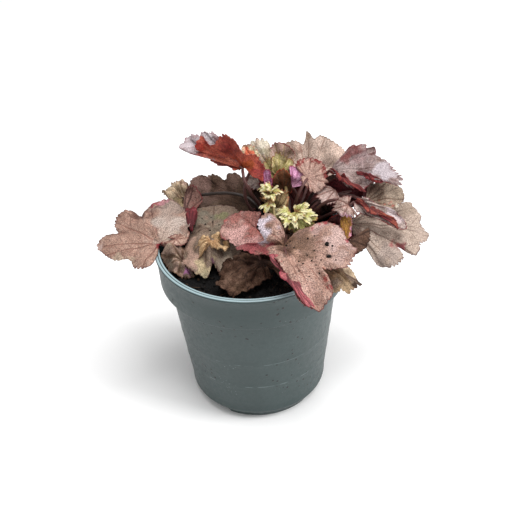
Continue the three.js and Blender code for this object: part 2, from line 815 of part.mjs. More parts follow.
function shootSolid({ tip, leaves: count, reach, fan, low, root, sway }) {
  const heart = new THREE.IcosahedronGeometry(3, 0)
  heart.translate(...tip)
  let solid = toSolid(heart)
  for (let i = 0; i < count; i++) {
    const inner = i % 2
    const bearing = radians(fan[0] + (fan[1] - fan[0]) * i / (count - 1))
    const rise = radians(inner ? STEEP : low)
    const size = inner ? reach * 0.75 : reach
    const side = new THREE.Vector3(-Math.sin(bearing), Math.cos(bearing), 0)
    const along = new THREE.Vector3(Math.cos(bearing), Math.sin(bearing), Math.tan(rise)).normalize()
    const tips = [-1, 0, 1].map((k) => {
      const angle = radians(k * YOUNG_LOBE_SPREAD)
      const lobe = along.clone().multiplyScalar(Math.cos(angle)).addScaledVector(side, Math.sin(angle))
      return lobe.multiplyScalar(k === 0 ? size : size * 0.8).toArray()
    })
    const hub = vector(tip).addScaledVector(along, 2.2).toArray()
    const young = { hub, tips, small: true, per: 4, blade: 0.7, ...YOUNG_WAVES }
    solid = solid.add(bladeSolid(young).solid)
  }
  const up = new THREE.Vector3(0, 0, 1)
  const { stalk, socket } = stalkOf({ hub: tip, root, sway }, up, up)
  return { solid: solid.add(stalk), socket }
}

// ---------------------------------------------------------------- assembly

const heuchera = new THREE.Group()
const leaves = [
  ...LEAVES.map((leaf) => ({ leaf, ...leafSolid(leaf) })),
  ...SHOOTS.map((leaf) => ({ leaf, ...shootSolid(leaf) }))
]

let crown = crownSolid(0)
for (const { socket } of leaves) crown = crown.subtract(socket)
const compost = compostSolid().subtract(crownSolid(GAP))

heuchera.add(node('pot', potSolid(), 0x59655f, 0.55))
heuchera.add(node('compost', compost, 0x14100d, 0.95))
heuchera.add(node('crown', crown, 0x3b2a22, 0.9))
for (const { leaf, solid } of leaves) heuchera.add(node(leaf.name, largest(solid), leaf.color, 0.6))

export default heuchera
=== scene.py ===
# %% [markdown]
# # A potted heuchera
# A young heuchera with bronze, rosy and rust-red leaves stands in a ribbed-lip nursery pot. The
# solid model gives each piece's place, and this lesson gives each piece its fine shape and finish.
# Loading the model first means that every later piece can be set exactly where its solid is.

import math

import bmesh
import bpy
import numpy as np
from mathutils import Matrix, Vector


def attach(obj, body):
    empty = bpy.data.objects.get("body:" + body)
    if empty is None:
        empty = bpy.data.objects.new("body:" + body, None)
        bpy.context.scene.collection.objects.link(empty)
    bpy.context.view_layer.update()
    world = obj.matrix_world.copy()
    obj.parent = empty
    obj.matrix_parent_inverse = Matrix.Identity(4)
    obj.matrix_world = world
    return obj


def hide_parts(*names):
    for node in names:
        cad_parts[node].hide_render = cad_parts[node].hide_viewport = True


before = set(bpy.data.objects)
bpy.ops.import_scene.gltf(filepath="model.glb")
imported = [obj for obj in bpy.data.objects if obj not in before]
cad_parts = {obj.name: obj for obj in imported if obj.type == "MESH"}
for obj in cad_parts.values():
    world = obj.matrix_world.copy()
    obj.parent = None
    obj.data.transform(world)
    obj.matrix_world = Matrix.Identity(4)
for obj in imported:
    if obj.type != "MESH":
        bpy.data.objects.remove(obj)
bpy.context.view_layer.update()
print("solid pieces:", len(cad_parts))

# %% [markdown]
# ## The camera
# The plant is seen from above the rim, tilted a few degrees. The camera looks at the middle of the
# pot from 60 cm away. A slight lens shift sets the pot a little below the middle of the picture,
# and keeps its sides from leaning, which turning the camera would not do.

# %% Place the camera
MM = 0.001
SIGHT_ELEVATION = math.radians(39.89)
SIGHT_ROLL = math.radians(3.43)
SIGHT_DISTANCE = 600 * MM
SIGHT_TARGET = Vector((0, 0, 60 * MM))
LENS = 62.37
LENS_SHIFT = (0.0127, 0.0867)


def placed(name, data):
    """A new object in the scene, made from a mesh, a lamp or a camera."""
    thing = bpy.data.objects.new(name, data)
    bpy.context.scene.collection.objects.link(thing)
    return thing


right = Vector((1, 0, 0))
back = Vector((0, -math.cos(SIGHT_ELEVATION), math.sin(SIGHT_ELEVATION)))
up = Vector((0, math.sin(SIGHT_ELEVATION), math.cos(SIGHT_ELEVATION)))
rolled_right = right * math.cos(SIGHT_ROLL) - up * math.sin(SIGHT_ROLL)
rolled_up = right * math.sin(SIGHT_ROLL) + up * math.cos(SIGHT_ROLL)
turn = Matrix((rolled_right, rolled_up, back)).transposed().to_4x4()

camera = placed("camera", bpy.data.cameras.new("camera"))
camera.matrix_world = Matrix.Translation(SIGHT_TARGET + back * SIGHT_DISTANCE) @ turn
camera.data.sensor_width = 36
camera.data.lens = LENS
camera.data.shift_x, camera.data.shift_y = LENS_SHIFT
camera.data.clip_start = 0.01
bpy.context.scene.camera = camera
bpy.context.scene.view_settings.view_transform = "Standard"
print("camera at", [round(1000 * value) for value in camera.location], "mm")

# %% [markdown]
# ## Sizes
# A one litre nursery pot is 12 cm across its rim. The pot's, the compost's and the crown's sizes
# are the same numbers as in the solid model, in millimetres, so that both stay in step.

# %% State the sizes in millimetres
POT_HEIGHT = 115
RIM_RADIUS = 60
COLLAR_DEPTH = 23
COLLAR_FOOT = POT_HEIGHT - COLLAR_DEPTH
COLLAR_TAPER = 0.9
COLLAR_RADIUS = RIM_RADIUS - COLLAR_TAPER
SHOULDER_RADIUS = 54
BASE_RADIUS = 45
FOOT_RADIUS = 41
HEEL_HEIGHT = 10
WALL = 1.3
FOOT_HEIGHT = 4
FOOT_WIDTH = 4
FOOT_GAP = math.radians(42)
FOOT_COUNT = 3
FRONT_FOOT = math.radians(-83)
FLOOR_TOP = FOOT_HEIGHT + WALL
CENTRE_PAD_RADIUS = 7
DRAIN_COUNT = 6
DRAIN_RADIUS = 4
DRAIN_CIRCLE = 30
SOIL_TOP = POT_HEIGHT - 10.5
SOIL_GAP = 0.35
CROWN_CENTRE = np.array([22.0, 14.0])
CROWN_RADIUS = 16
CROWN_TOP = SOIL_TOP + 8
CROWN_DEPTH = 12
SOCKET_DEPTH = 6
SOCKET_RINGS = [3.5, 8.2, 12.6]
print("compost surface at", SOIL_TOP, "mm, crown top at", CROWN_TOP, "mm")

# %% [markdown]
# ## Two helpers for natural shapes
# Nothing on a plant or in compost is even. `ripples` adds up slow waves that run in random
# directions, which gives a smooth, bumpy field without a grid in it. Its waves are drawn from a
# seed, so that each run gives the same plant. `ease` is the soft step that blends one into another.

# %% Ripples and soft steps
def ripples(points, length, seed, waves=12):
    """A smooth random field with bumps about `length` apart, mostly between -1.5 and 1.5."""
    draw = np.random.default_rng(seed)
    heading = draw.normal(size=(waves, 3))
    heading /= np.linalg.norm(heading, axis=1)[:, None]
    pitch = length * draw.uniform(0.75, 1.5, waves)
    phase = draw.uniform(0, 2 * math.pi, waves)
    angle = np.asarray(points, float) @ (heading * (2 * math.pi / pitch)[:, None]).T + phase
    return np.sin(angle).sum(-1) * math.sqrt(2 / waves)


def ease(low, high, value):
    """0 below `low`, 1 above `high`, and a soft slope between them."""
    t = np.clip((np.asarray(value, float) - low) / (high - low), 0, 1)
    return t * t * (3 - 2 * t)


sample = ripples(np.random.default_rng(1).uniform(0, 100, (500, 3)), 10, 2)
print("ripples run from", round(sample.min(), 2), "to", round(sample.max(), 2))

# %% [markdown]
# ## From shells to pieces
# Every piece here is one or more closed shells: lists of points and faces, with a few numbers and
# a tint at each point for the material to read, such as how far it lies from a leaf's edge. On the
# leaves the tint holds their own patches of colour and some patches of painted shade and highlight.
# Working on plain arrays and making the mesh last is quick, and each number stays tied to the real
# surface.

# %% Make one piece from its shells
NUMBERS_AT_POINTS = ["beside", "along", "rim", "face", "fleck"]


def shell(points, faces, finish=0, tint=None, **numbers):
    """One closed skin of points in millimetres, with its faces and its numbers at each point."""
    count = len(points)
    values = {key: np.broadcast_to(numbers.get(key, 0.0), (count,)) for key in NUMBERS_AT_POINTS}
    tint = np.zeros((count, 4)) if tint is None else tint
    return dict(points=np.asarray(points, float), faces=faces, finish=finish, tint=tint, values=values)


def piece_of(name, shells, finishes):
    """One object from all its shells, with smooth faces and its materials."""
    faces, finish_of_face, start = [], [], 0
    for part in shells:
        faces += [tuple(int(corner) + start for corner in face) for face in part["faces"]]
        finish_of_face += [part["finish"]] * len(part["faces"])
        start += len(part["points"])
    mesh = bpy.data.meshes.new(name)
    points = np.concatenate([part["points"] for part in shells]) * MM
    mesh.from_pydata(points.tolist(), [], faces)
    for key in NUMBERS_AT_POINTS:
        column = mesh.attributes.new(key, "FLOAT", "POINT")
        column.data.foreach_set("value", np.concatenate([part["values"][key] for part in shells]))
    tint = mesh.attributes.new("tint", "FLOAT_COLOR", "POINT")
    tint.data.foreach_set("color", np.concatenate([part["tint"] for part in shells]).ravel())
    mesh.polygons.foreach_set("material_index", finish_of_face)
    mesh.polygons.foreach_set("use_smooth", [True] * len(faces))
    for finish in finishes:
        mesh.materials.append(finish)
    mesh.update()
    return placed(name, mesh)


def settle(piece, node):
    """The piece moves with the plant and stands for its solid, which it hides, and its triangles are
    counted.
    """
    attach(piece, "root")
    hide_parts(node)
    triangles = sum(len(face.vertices) - 2 for face in piece.data.polygons)
    print(f"{piece.name}: {triangles} triangles")
    return triangles


# %% [markdown]
# ## Writing materials briefly
# A material is a small network: patterns of noise feed colour, roughness and bump. `Finish` keeps
# one network while it is written, and each of its methods adds one node and hands back its output,
# so that a finish reads from top to bottom like a recipe.

# %% A short way to write a material
def paint(red, green, blue):
    """A colour as it is read off a paint card, 0 to 255, turned into light."""
    def light(value):
        value /= 255
        return value / 12.92 if value <= 0.04045 else ((value + 0.055) / 1.055) ** 2.4
    return (light(red), light(green), light(blue), 1.0)


class Finish:
    def __init__(self, name):
        self.material = bpy.data.materials.new(name)
        self.material.use_nodes = True
        self.tree = self.material.node_tree
        self.skin = self.tree.nodes["Principled BSDF"]
        self.place = self.tree.nodes.new("ShaderNodeTexCoord").outputs["Object"]

    def feed(self, node, inputs):
        """Sets each input to a plain number or colour, or links it to another node's output."""
        for key, value in inputs.items():
            if isinstance(value, bpy.types.NodeSocket):
                self.tree.links.new(value, node.inputs[key])
            else:
                node.inputs[key].default_value = value

    def add(self, kind, inputs, output=0, **settings):
        node = self.tree.nodes.new("ShaderNode" + kind)
        for key, value in settings.items():
            setattr(node, key, value)
        self.feed(node, inputs)
        return node.outputs[output]

    def maths(self, operation, first, second=0.0, third=0.0):
        return self.add("Math", {0: first, 1: second, 2: third}, operation=operation)

    def number(self, name, kind="Fac"):
        """What the mesh carries at each point under this name."""
        return self.add("Attribute", {}, kind, attribute_name=name)

    def moved(self, seed):
        """The place in space, moved so that two patterns of one size don't coincide."""
        return self.add("VectorMath", {0: self.place, 1: (seed, seed * 0.7, seed * 1.3)})

    def noise(self, per_metre, detail, rough=0.5, seed=0.0):
        inputs = {"Vector": self.moved(seed), "Scale": per_metre, "Detail": detail, "Roughness": rough}
        return self.add("TexNoise", inputs)

    def cells(self, per_metre, seed, feature="F1"):
        inputs = {"Vector": self.moved(seed), "Scale": per_metre}
        return self.add("TexVoronoi", inputs, "Distance", feature=feature)

    def step(self, value, low, high, start=0.0, end=1.0):
        inputs = {"Value": value, "From Min": low, "From Max": high, "To Min": start, "To Max": end}
        return self.add("MapRange", inputs, interpolation_type="SMOOTHSTEP")

    def mix(self, share, first, second, blend="MIX"):
        inputs = {0: share, 6: first, 7: second}
        return self.add("Mix", inputs, 2, data_type="RGBA", blend_type=blend)

    def done(self, colour, rough, height, depth, gloss=0.5):
        """Joins colour, roughness, gloss and bump height, whose full depth is in millimetres."""
        bump = self.add("Bump", {"Height": height, "Distance": depth * MM, "Strength": 1.0})
        self.feed(self.skin, {"Base Color": colour, "Roughness": rough, "Normal": bump,
                              "Specular IOR Level": gloss})
        return self.material


print("paint(255, 255, 255) is", paint(255, 255, 255))

# %% [markdown]
# ## The pot's plastic
# Nursery pots are pressed from recycled polypropylene: a grey-green, half-matt plastic that a
# season on the bench leaves dull, water-marked and spotted with compost. The colour is mixed from
# slow clouds for the old water marks, and dust and dark specks that lie in clusters. The mesh
# carries each point's height, which places painted highlights along the faint rings on the wall,
# painted shade in the line under the collar and a painted highlight on the lip's beads.

# %% Mix the pot's plastic
POT_RINGS = (33, 54)
RING_HIGHLIGHT_PAINT = paint(120, 134, 134)
# Painted light: the pale lines on the two raised rings are painted highlights, and the dark line just
# under the collar's step is painted shade.
POT_LIGHT_AND_SHADE_LINES = [(POT_RINGS[0], 0.5, 0.5, RING_HIGHLIGHT_PAINT), (POT_RINGS[1], 0.4, 0.35, RING_HIGHLIGHT_PAINT),
             (COLLAR_FOOT - 0.9, 1.4, 0.85, paint(22, 28, 30))]


def pot_plastic():
    pot = Finish("nursery_pot_plastic")
    clouds = pot.noise(28, 4, 0.6)
    colour = pot.mix(pot.step(clouds, 0.35, 0.7), paint(40, 56, 56), paint(53, 67, 67))
    dusty = pot.step(pot.noise(34, 3, 0.6, seed=4.4), 0.56, 0.66)
    dust = pot.maths("MULTIPLY", pot.step(pot.cells(560, 1.7), 0.12, 0.24, 1, 0), dusty)
    colour = pot.mix(pot.maths("MULTIPLY", dust, 0.55), colour, paint(140, 150, 149))
    specks = pot.step(pot.cells(230, 3.1), 0.14, 0.22, 1, 0)
    rare = pot.step(pot.noise(30, 2, seed=5.2), 0.5, 0.55)
    speck = pot.maths("MULTIPLY", specks, rare)
    colour = pot.mix(speck, colour, paint(12, 11, 10))
    level = pot.number("fleck")
    broken = pot.step(pot.noise(90, 3, 0.7, seed=8.1), 0.46, 0.58)
    # Lays the painted highlight and shade lines, broken up by noise.
    for ring, wide, share, line in POT_LIGHT_AND_SHADE_LINES:
        away = pot.maths("ABSOLUTE", pot.maths("SUBTRACT", level, ring))
        near = pot.maths("MULTIPLY", pot.step(away, 0.3 * wide, wide, share, 0), broken)
        colour = pot.mix(near, colour, line)
    # Painted highlight: the pale line on the tops of the lip's beads stands for the light they catch.
    lip_highlight = pot.step(level, POT_HEIGHT - 0.6, POT_HEIGHT - 0.2)
    colour = pot.mix(pot.maths("MULTIPLY", lip_highlight, 0.85), colour, paint(160, 182, 187))
    grain = pot.noise(2600, 2)
    scuffs = pot.noise(420, 3, 0.7, seed=2.0)
    rough = pot.step(pot.maths("ADD", clouds, scuffs), 0.7, 1.3, 0.36, 0.55)
    height = pot.maths("MULTIPLY_ADD", grain, 0.3, pot.maths("MULTIPLY", scuffs, 0.6))
    height = pot.maths("ADD", height, speck)
    return pot.done(colour, rough, height, 0.12)


POT_PLASTIC = pot_plastic()
print("pot plastic:", len(POT_PLASTIC.node_tree.nodes), "nodes")

# %% [markdown]
# ## The pot
# The pot is one thin moulding: a tapered body, a deep collar with a rolled double lip, a rounded
# heel, and a foot ring broken into three feet so that water runs out. Turning one profile gives
# all of it. The foot ring is lifted between the feet, and the drain holes are cut afterwards.

# %% Turn a profile round the pot's axis
def tube_faces(rows, sides):
    """The faces of a row of rings: bands between them, and a fan to a middle point at each end."""
    after = (np.arange(sides) + 1) % sides
    faces = []
    for row in range(rows - 1):
        a, b = row * sides, (row + 1) * sides
        faces += [(a + i, a + after[i], b + after[i], b + i) for i in range(sides)]
    count, last = rows * sides, (rows - 1) * sides
    faces += [(count, after[i], i) for i in range(sides)]
    return faces + [(count + 1, last + i, last + after[i]) for i in range(sides)]


def turned(profile, sides, lift=None):
    """The points and faces of a profile turned round the axis. It starts and ends on the axis."""
    profile = np.asarray(profile, float)
    ring = profile[1:-1]
    angle = np.arange(sides) * 2 * math.pi / sides
    points = np.empty((len(ring), sides, 3))
    points[..., 0] = ring[:, :1] * np.cos(angle)
    points[..., 1] = ring[:, :1] * np.sin(angle)
    points[..., 2] = ring[:, 1:]
    if lift is not None:
        points[..., 2] = lift(points, angle)
    ends = np.array([[0, 0, profile[0, 1]], [0, 0, profile[-1, 1]]])
    return np.concatenate([points.reshape(-1, 3), ends]), tube_faces(len(ring), sides)


def bead(radius, height, size, start, end, count):
    """An arc of the profile, by its centre, its size and its angles in degrees."""
    angles = np.radians(np.linspace(start, end, count))
    return [(radius + size * math.cos(a), height + size * math.sin(a)) for a in angles]


print("a quarter bead of radius 1:", np.round(bead(0, 0, 1, 0, 90, 3), 2).tolist())

# %% Build the pot
def foot_lift(points, angle):
    """Raises the foot ring between the feet."""
    pitch = 2 * math.pi / FOOT_COUNT
    from_gap = np.abs((angle - FRONT_FOOT) % pitch - pitch / 2)
    foot = ease(FOOT_GAP / 2 - 0.03, FOOT_GAP / 2 + 0.03, from_gap)
    height = points[..., 2]
    ring = (np.hypot(points[..., 0], points[..., 1]) > CENTRE_PAD_RADIUS + 5) & (height < FOOT_HEIGHT)
    return np.where(ring, FOOT_HEIGHT - (FOOT_HEIGHT - height) * foot, height)


POT_SIDES = 192
RING_HEIGHT, RING_SPREAD = 0.2, 0.8


def wall_point(t):
    """A point of the wall's outside, from 0 at the heel to 1 at the collar, raised at its rings."""
    radius = BASE_RADIUS + (SHOULDER_RADIUS - BASE_RADIUS) * t
    level = HEEL_HEIGHT + (COLLAR_FOOT - HEEL_HEIGHT) * t
    swell = sum(RING_HEIGHT * math.exp(-((level - ring) / RING_SPREAD) ** 2) for ring in POT_RINGS)
    return radius + swell, level


def pot_profile():
    """Radius and height along the moulding, up its outside and back down its inside."""
    foot_inside, ledge = FOOT_RADIUS - FOOT_WIDTH, COLLAR_FOOT + WALL
    profile = [(0, 0), (CENTRE_PAD_RADIUS - 0.6, 0), (CENTRE_PAD_RADIUS, 0.6)]
    profile += [(CENTRE_PAD_RADIUS, FOOT_HEIGHT), (foot_inside, FOOT_HEIGHT)]
    profile += [(foot_inside, 0.5), (foot_inside + 0.5, 0), (FOOT_RADIUS - 1, 0), (FOOT_RADIUS - 0.2, 0.3)]
    profile += [(FOOT_RADIUS + 0.6, 2), (FOOT_RADIUS + 1.1, FOOT_HEIGHT - 0.01)]
    profile += bead(BASE_RADIUS - 3.9, HEEL_HEIGHT - 1, 4.2, -52, 0, 7)
    profile += [wall_point(t) for t in np.linspace(0, 1, 40)[1:-1]]
    profile += [(SHOULDER_RADIUS, COLLAR_FOOT - 0.6), (SHOULDER_RADIUS + 0.2, COLLAR_FOOT - 0.15)]
    profile += [(SHOULDER_RADIUS + 0.6, COLLAR_FOOT), (COLLAR_RADIUS - 0.6, COLLAR_FOOT)]
    profile += bead(COLLAR_RADIUS - 0.6, COLLAR_FOOT + 0.7, 0.7, -70, 0, 4)
    profile += [(COLLAR_RADIUS + 0.25, COLLAR_FOOT + 7), (COLLAR_RADIUS + 0.5, COLLAR_FOOT + 14)]
    profile += [(RIM_RADIUS - 0.35, POT_HEIGHT - 3.4)]
    profile += bead(RIM_RADIUS - 0.3, POT_HEIGHT - 1.2, 1.1, -62, 118, 12)
    profile += [(RIM_RADIUS - 1.15, POT_HEIGHT - 0.75)]
    profile += bead(RIM_RADIUS - 1.95, POT_HEIGHT - 0.75, 0.7, 50, 190, 8)
    profile += [(RIM_RADIUS - 2.5, POT_HEIGHT - 2.5), (COLLAR_RADIUS - WALL, ledge + 0.5)]
    profile += [(COLLAR_RADIUS - WALL - 0.5, ledge), (SHOULDER_RADIUS - WALL, ledge)]
    profile += [(BASE_RADIUS - WALL, HEEL_HEIGHT + WALL), (FOOT_RADIUS - 0.4, FLOOR_TOP)]
    return profile + [(0, FLOOR_TOP)]


points, faces = turned(pot_profile(), POT_SIDES, foot_lift)
pot = piece_of("nursery_pot", [shell(points, faces, fleck=points[:, 2])], [POT_PLASTIC])
cleaner = bmesh.new()
cleaner.from_mesh(pot.data)
bmesh.ops.remove_doubles(cleaner, verts=cleaner.verts, dist=0.01 * MM)
bmesh.ops.recalc_face_normals(cleaner, faces=cleaner.faces)
cleaner.to_mesh(pot.data)
cleaner.free()
print("pot wall turned, height", POT_HEIGHT, "mm")

# %% Drill the drain holes and keep the crisp edges
def drill(piece, radius, circle, count, depth):
    """Cuts a ring of upright holes through the floor."""
    cutter_mesh = bpy.data.meshes.new("drain_cutter")
    maker = bmesh.new()
    for i in range(count):
        angle = i * 2 * math.pi / count
        spot = Vector((circle * math.cos(angle), circle * math.sin(angle), FOOT_HEIGHT)) * MM
        bmesh.ops.create_cone(maker, cap_ends=True, segments=28, radius1=radius * MM,
                              radius2=radius * MM, depth=depth * MM, matrix=Matrix.Translation(spot))
    maker.to_mesh(cutter_mesh)
    maker.free()
    cutter = placed("drain_cutter", cutter_mesh)
    cut = piece.modifiers.new("drains", "BOOLEAN")
    cut.object = cutter
    cut.operation = "DIFFERENCE"
    cut.solver = "EXACT"
    bpy.context.view_layer.update()
    result = bpy.data.meshes.new_from_object(piece.evaluated_get(bpy.context.evaluated_depsgraph_get()))
    piece.modifiers.clear()
    piece.data = result
    bpy.data.objects.remove(cutter)


CRISP_EDGE = math.radians(38)
drill(pot, DRAIN_RADIUS, DRAIN_CIRCLE, DRAIN_COUNT, 8 * WALL)
pot.data.set_sharp_from_angle(angle=CRISP_EDGE)
settle(pot, "pot")

# %% [markdown]
# ## Compost
# Potting compost is peat and bark: almost black when moist, with crumbs from dust up to 3 mm,
# brown bark bits and pale root fibres. The bulk is a turned body with a lumpy top. Separate crumbs
# and fibres are scattered on it, because a bumped surface alone looks like cloth at its outline.

# %% Mix the compost's colours
def compost_finish(name, dark, brown, share):
    soil = Finish(name)
    patches = soil.noise(240, 4, 0.65)
    colour = soil.mix(soil.step(patches, share, share + 0.2), dark, brown)
    own = soil.number("fleck")
    colour = soil.mix(soil.step(own, 0.8, 1.0, 0, 0.85), colour, paint(78, 58, 42))
    rough = soil.step(soil.noise(900, 3), 0.35, 0.65, 0.7, 1.0)
    return soil.done(colour, rough, soil.noise(1500, 5, 0.7), 0.7, gloss=0.25)


SOIL_FINISH = compost_finish("moist_compost", paint(9, 7, 7), paint(27, 20, 16), 0.58)
CRUMB_FINISH = compost_finish("compost_crumbs", paint(12, 10, 9), paint(40, 30, 23), 0.52)
print("compost finishes mixed")

# %% Fill the pot with compost
def soil_height(x, y):
    """The compost's surface in millimetres, lumpy and slightly hollow at the wall."""
    x, y = np.asarray(x, float), np.asarray(y, float)
    swell = 0.9 * np.sin(x * 0.13 + 0.7) * np.cos(y * 0.16 - 0.4)
    crumbs = 0.6 * np.sin(x * 0.61 - y * 0.37) * np.sin(y * 0.53 + x * 0.21)
    flat = np.stack([x, y, np.zeros_like(x)], -1)
    fine = 0.45 * ripples(flat, 5, 11) + 0.3 * ripples(flat, 2.4, 12)
    wall = 1.5 * ease(52, 57.5, np.hypot(x, y))
    return SOIL_TOP + swell + crumbs + fine - wall


def compost_lift(points, angle):
    """Gives the top its lumps. It needs no angles, but every lift is handed them."""
    top = points[..., 2] > SOIL_TOP - 0.1
    return np.where(top, soil_height(points[..., 0], points[..., 1]), points[..., 2])


SOIL_SIDES = 200
soil_edge = COLLAR_RADIUS - WALL - SOIL_GAP
soil_step = COLLAR_FOOT + WALL + SOIL_GAP
profile = [(0, FLOOR_TOP + SOIL_GAP), (FOOT_RADIUS - 1, FLOOR_TOP + SOIL_GAP)]
profile += [(BASE_RADIUS - WALL - SOIL_GAP, HEEL_HEIGHT + WALL + SOIL_GAP)]
profile += [(SHOULDER_RADIUS - WALL - SOIL_GAP, soil_step), (soil_edge, soil_step)]
profile += [(radius, SOIL_TOP) for radius in np.linspace(soil_edge, 1.2, 48)] + [(0, SOIL_TOP)]
points, faces = turned(profile, SOIL_SIDES, compost_lift)
compost = piece_of("compost_bulk", [shell(points, faces)], [SOIL_FINISH])
settle(compost, "compost")

# %% Scatter crumbs and fibres
def lump(size, seed, flat):
    """One uneven crumb round the origin, `flat` times as high as it is long."""
    ball = bmesh.new()
    bmesh.ops.create_icosphere(ball, subdivisions=2, radius=1.0)
    points = np.array([list(v.co) for v in ball.verts])
    faces = [tuple(v.index for v in face.verts) for face in ball.faces]
    ball.free()
    points *= (1 + 0.22 * ripples(points, 1.3, seed, 8))[:, None]
    return points * size * np.array([1, 0.85, flat]), faces


def turned_about(points, draw):
    """The points turned to a random heading and tilt."""
    heading, tilt = draw.uniform(0, 2 * math.pi), draw.normal(0, 0.5)
    turn = Matrix.Rotation(heading, 3, "Z") @ Matrix.Rotation(tilt, 3, "X")
    return points @ np.array(turn).T


def tube(route, radii, sides):
    """The points and faces of a closed tube along a route."""
    route = np.asarray(route, float)
    ahead = np.gradient(route, axis=0)
    ahead /= np.linalg.norm(ahead, axis=1)[:, None]
    side = np.cross(ahead[0], [0.3, 0.9, 0.2])
    rings = []
    for point, direction, radius in zip(route, ahead, np.broadcast_to(radii, len(route))):
        side = side - direction * (side @ direction)
        side /= np.linalg.norm(side)
        other = np.cross(direction, side)
        angle = np.arange(sides) * 2 * math.pi / sides
        rings.append(point + radius * (np.cos(angle)[:, None] * side + np.sin(angle)[:, None] * other))
    return np.concatenate(rings + [route[:1], route[-1:]]), tube_faces(len(route), sides)


def fibre(draw, length, radius):
    """A thin dry root or bark thread that lies in an uneven arc."""
    bearing, bend = draw.uniform(0, 2 * math.pi), draw.normal(0, 0.9)
    t = np.linspace(-0.5, 0.5, 9)
    heading = bearing + bend * t
    steps = np.stack([np.cos(heading), np.sin(heading), draw.normal(0, 0.12, 9)], -1) * length / 8
    route = np.cumsum(steps, axis=0)
    return tube(route - route.mean(0), radius * (1.15 - 1.2 * np.abs(t)), 5)


def random_place(draw, reach):
    """A place on the compost, evenly drawn from a disc of this radius."""
    radius = reach * math.sqrt(draw.uniform(0, 1))
    bearing = draw.uniform(0, 2 * math.pi)
    return radius * math.cos(bearing), radius * math.sin(bearing)


CRUMBS, CRUMB_SHAPES, CRUMB_REACH = 1000, 40, 56
FIBRES, FIBRE_REACH = 110, 54
draw = np.random.default_rng(21)
shells = []
for i in range(CRUMBS):
    x, y = random_place(draw, CRUMB_REACH)
    size = 0.45 + 1.1 * draw.uniform() ** 3
    points, faces = lump(size, 100 + i % CRUMB_SHAPES, draw.uniform(0.55, 0.95))
    points = turned_about(points, draw) + [x, y, soil_height(x, y) + 0.25 * size]
    shells.append(shell(points, faces, fleck=draw.uniform()))
for i in range(FIBRES):
    x, y = random_place(draw, FIBRE_REACH)
    points, faces = fibre(draw, draw.uniform(4, 11), draw.uniform(0.1, 0.28))
    points = points + [x, y, soil_height(x, y) + 0.8]
    points[:, 2] = np.minimum(points[:, 2], POT_HEIGHT - 2)
    shells.append(shell(points, faces, fleck=0.95))
crumbs = piece_of("compost_crumbs", shells, [CRUMB_FINISH])
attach(crumbs, "root")
print("crumbs and fibres:", len(crumbs.data.polygons), "faces")

# %% [markdown]
# ## The crown
# A heuchera grows from a short woody stem, rough with the brown bases of old leaf stalks. Here it
# is a lumpy dome, wrapped in short upright scales that stand around it like the shed stalks.

# %% Build the crown
def crown_finish():
    wood = Finish("woody_crown")
    fibres = wood.noise(600, 4, 0.6)
    colour = wood.mix(wood.step(fibres, 0.35, 0.65), paint(38, 24, 19), paint(86, 58, 44))
    return wood.done(colour, 0.85, fibres, 0.5, gloss=0.3)


CROWN_DOME = 7.4
CROWN_SIDES = 72
CROWN_SCALES = 70
profile = [(0, SOIL_TOP - CROWN_DEPTH), (CROWN_RADIUS * 0.55, SOIL_TOP - CROWN_DEPTH)]
profile += [(CROWN_RADIUS * 0.9, SOIL_TOP - CROWN_DEPTH * 0.5), (CROWN_RADIUS, SOIL_TOP)]
for t in np.linspace(0.08, 0.95, 16):
    rise = t * math.pi / 2
    profile.append((CROWN_RADIUS * math.cos(rise) ** 0.8, SOIL_TOP + CROWN_DOME * math.sin(rise)))
profile += [(0, CROWN_TOP - 0.4)]
points, faces = turned(profile, CROWN_SIDES)
points[:, 2] += 0.7 * ripples(points, 5, 31) * ease(SOIL_TOP - 8, SOIL_TOP, points[:, 2])
points[:, :2] += CROWN_CENTRE
shells = [shell(points, faces)]
draw = np.random.default_rng(33)
for i in range(CROWN_SCALES):
    bearing = draw.uniform(0, 2 * math.pi)
    out = np.array([math.cos(bearing), math.sin(bearing), 0])
    radius = draw.uniform(5, 15.5)
    dome = SOIL_TOP + 7 * math.sqrt(1 - (radius / 16.5) ** 2)
    foot = np.array([*CROWN_CENTRE, dome - 1]) + out * radius
    top = foot + out * draw.uniform(0.4, 1.6) + [0, 0, draw.uniform(2, 4.5)]
    route = [foot + (top - foot) * t + out * 0.8 * t * t for t in np.linspace(0, 1, 5)]
    points, faces = tube(route, np.linspace(1.1, 0.35, 5), 6)
    shells.append(shell(points, faces))
crown = piece_of("woody_crown", shells, [crown_finish()])
settle(crown, "crown")

# %% [markdown]
# ## A leaf's skin
# A bronze heuchera leaf is matt and finely grained, with a network of veins. Its upper face is
# clouded between two browns and silvered between the veins, its under face is wine to rust red,
# and a thin red line runs round the teeth. The pale specks of the grain are partly painted
# highlight, glints on the leaf's hairs. The skin reads four numbers from the mesh: how far a point
# lies beside the nearest main vein, how far along it, how far from the edge, and which face it is
# on. Veins drawn from these follow each lobe, which veins from noise would not. A tint, also read
# from the mesh, lays a leaf's own patches of colour over the rest, together with some patches of
# painted shade and painted highlight.

# %% Mix a leaf skin
SIDE_VEIN_PITCH = 6.5
SIDE_VEIN_SLANT = 0.85
LEAF_DEPTH = 0.85
EDGE_FADE = (0.65, 1.5)


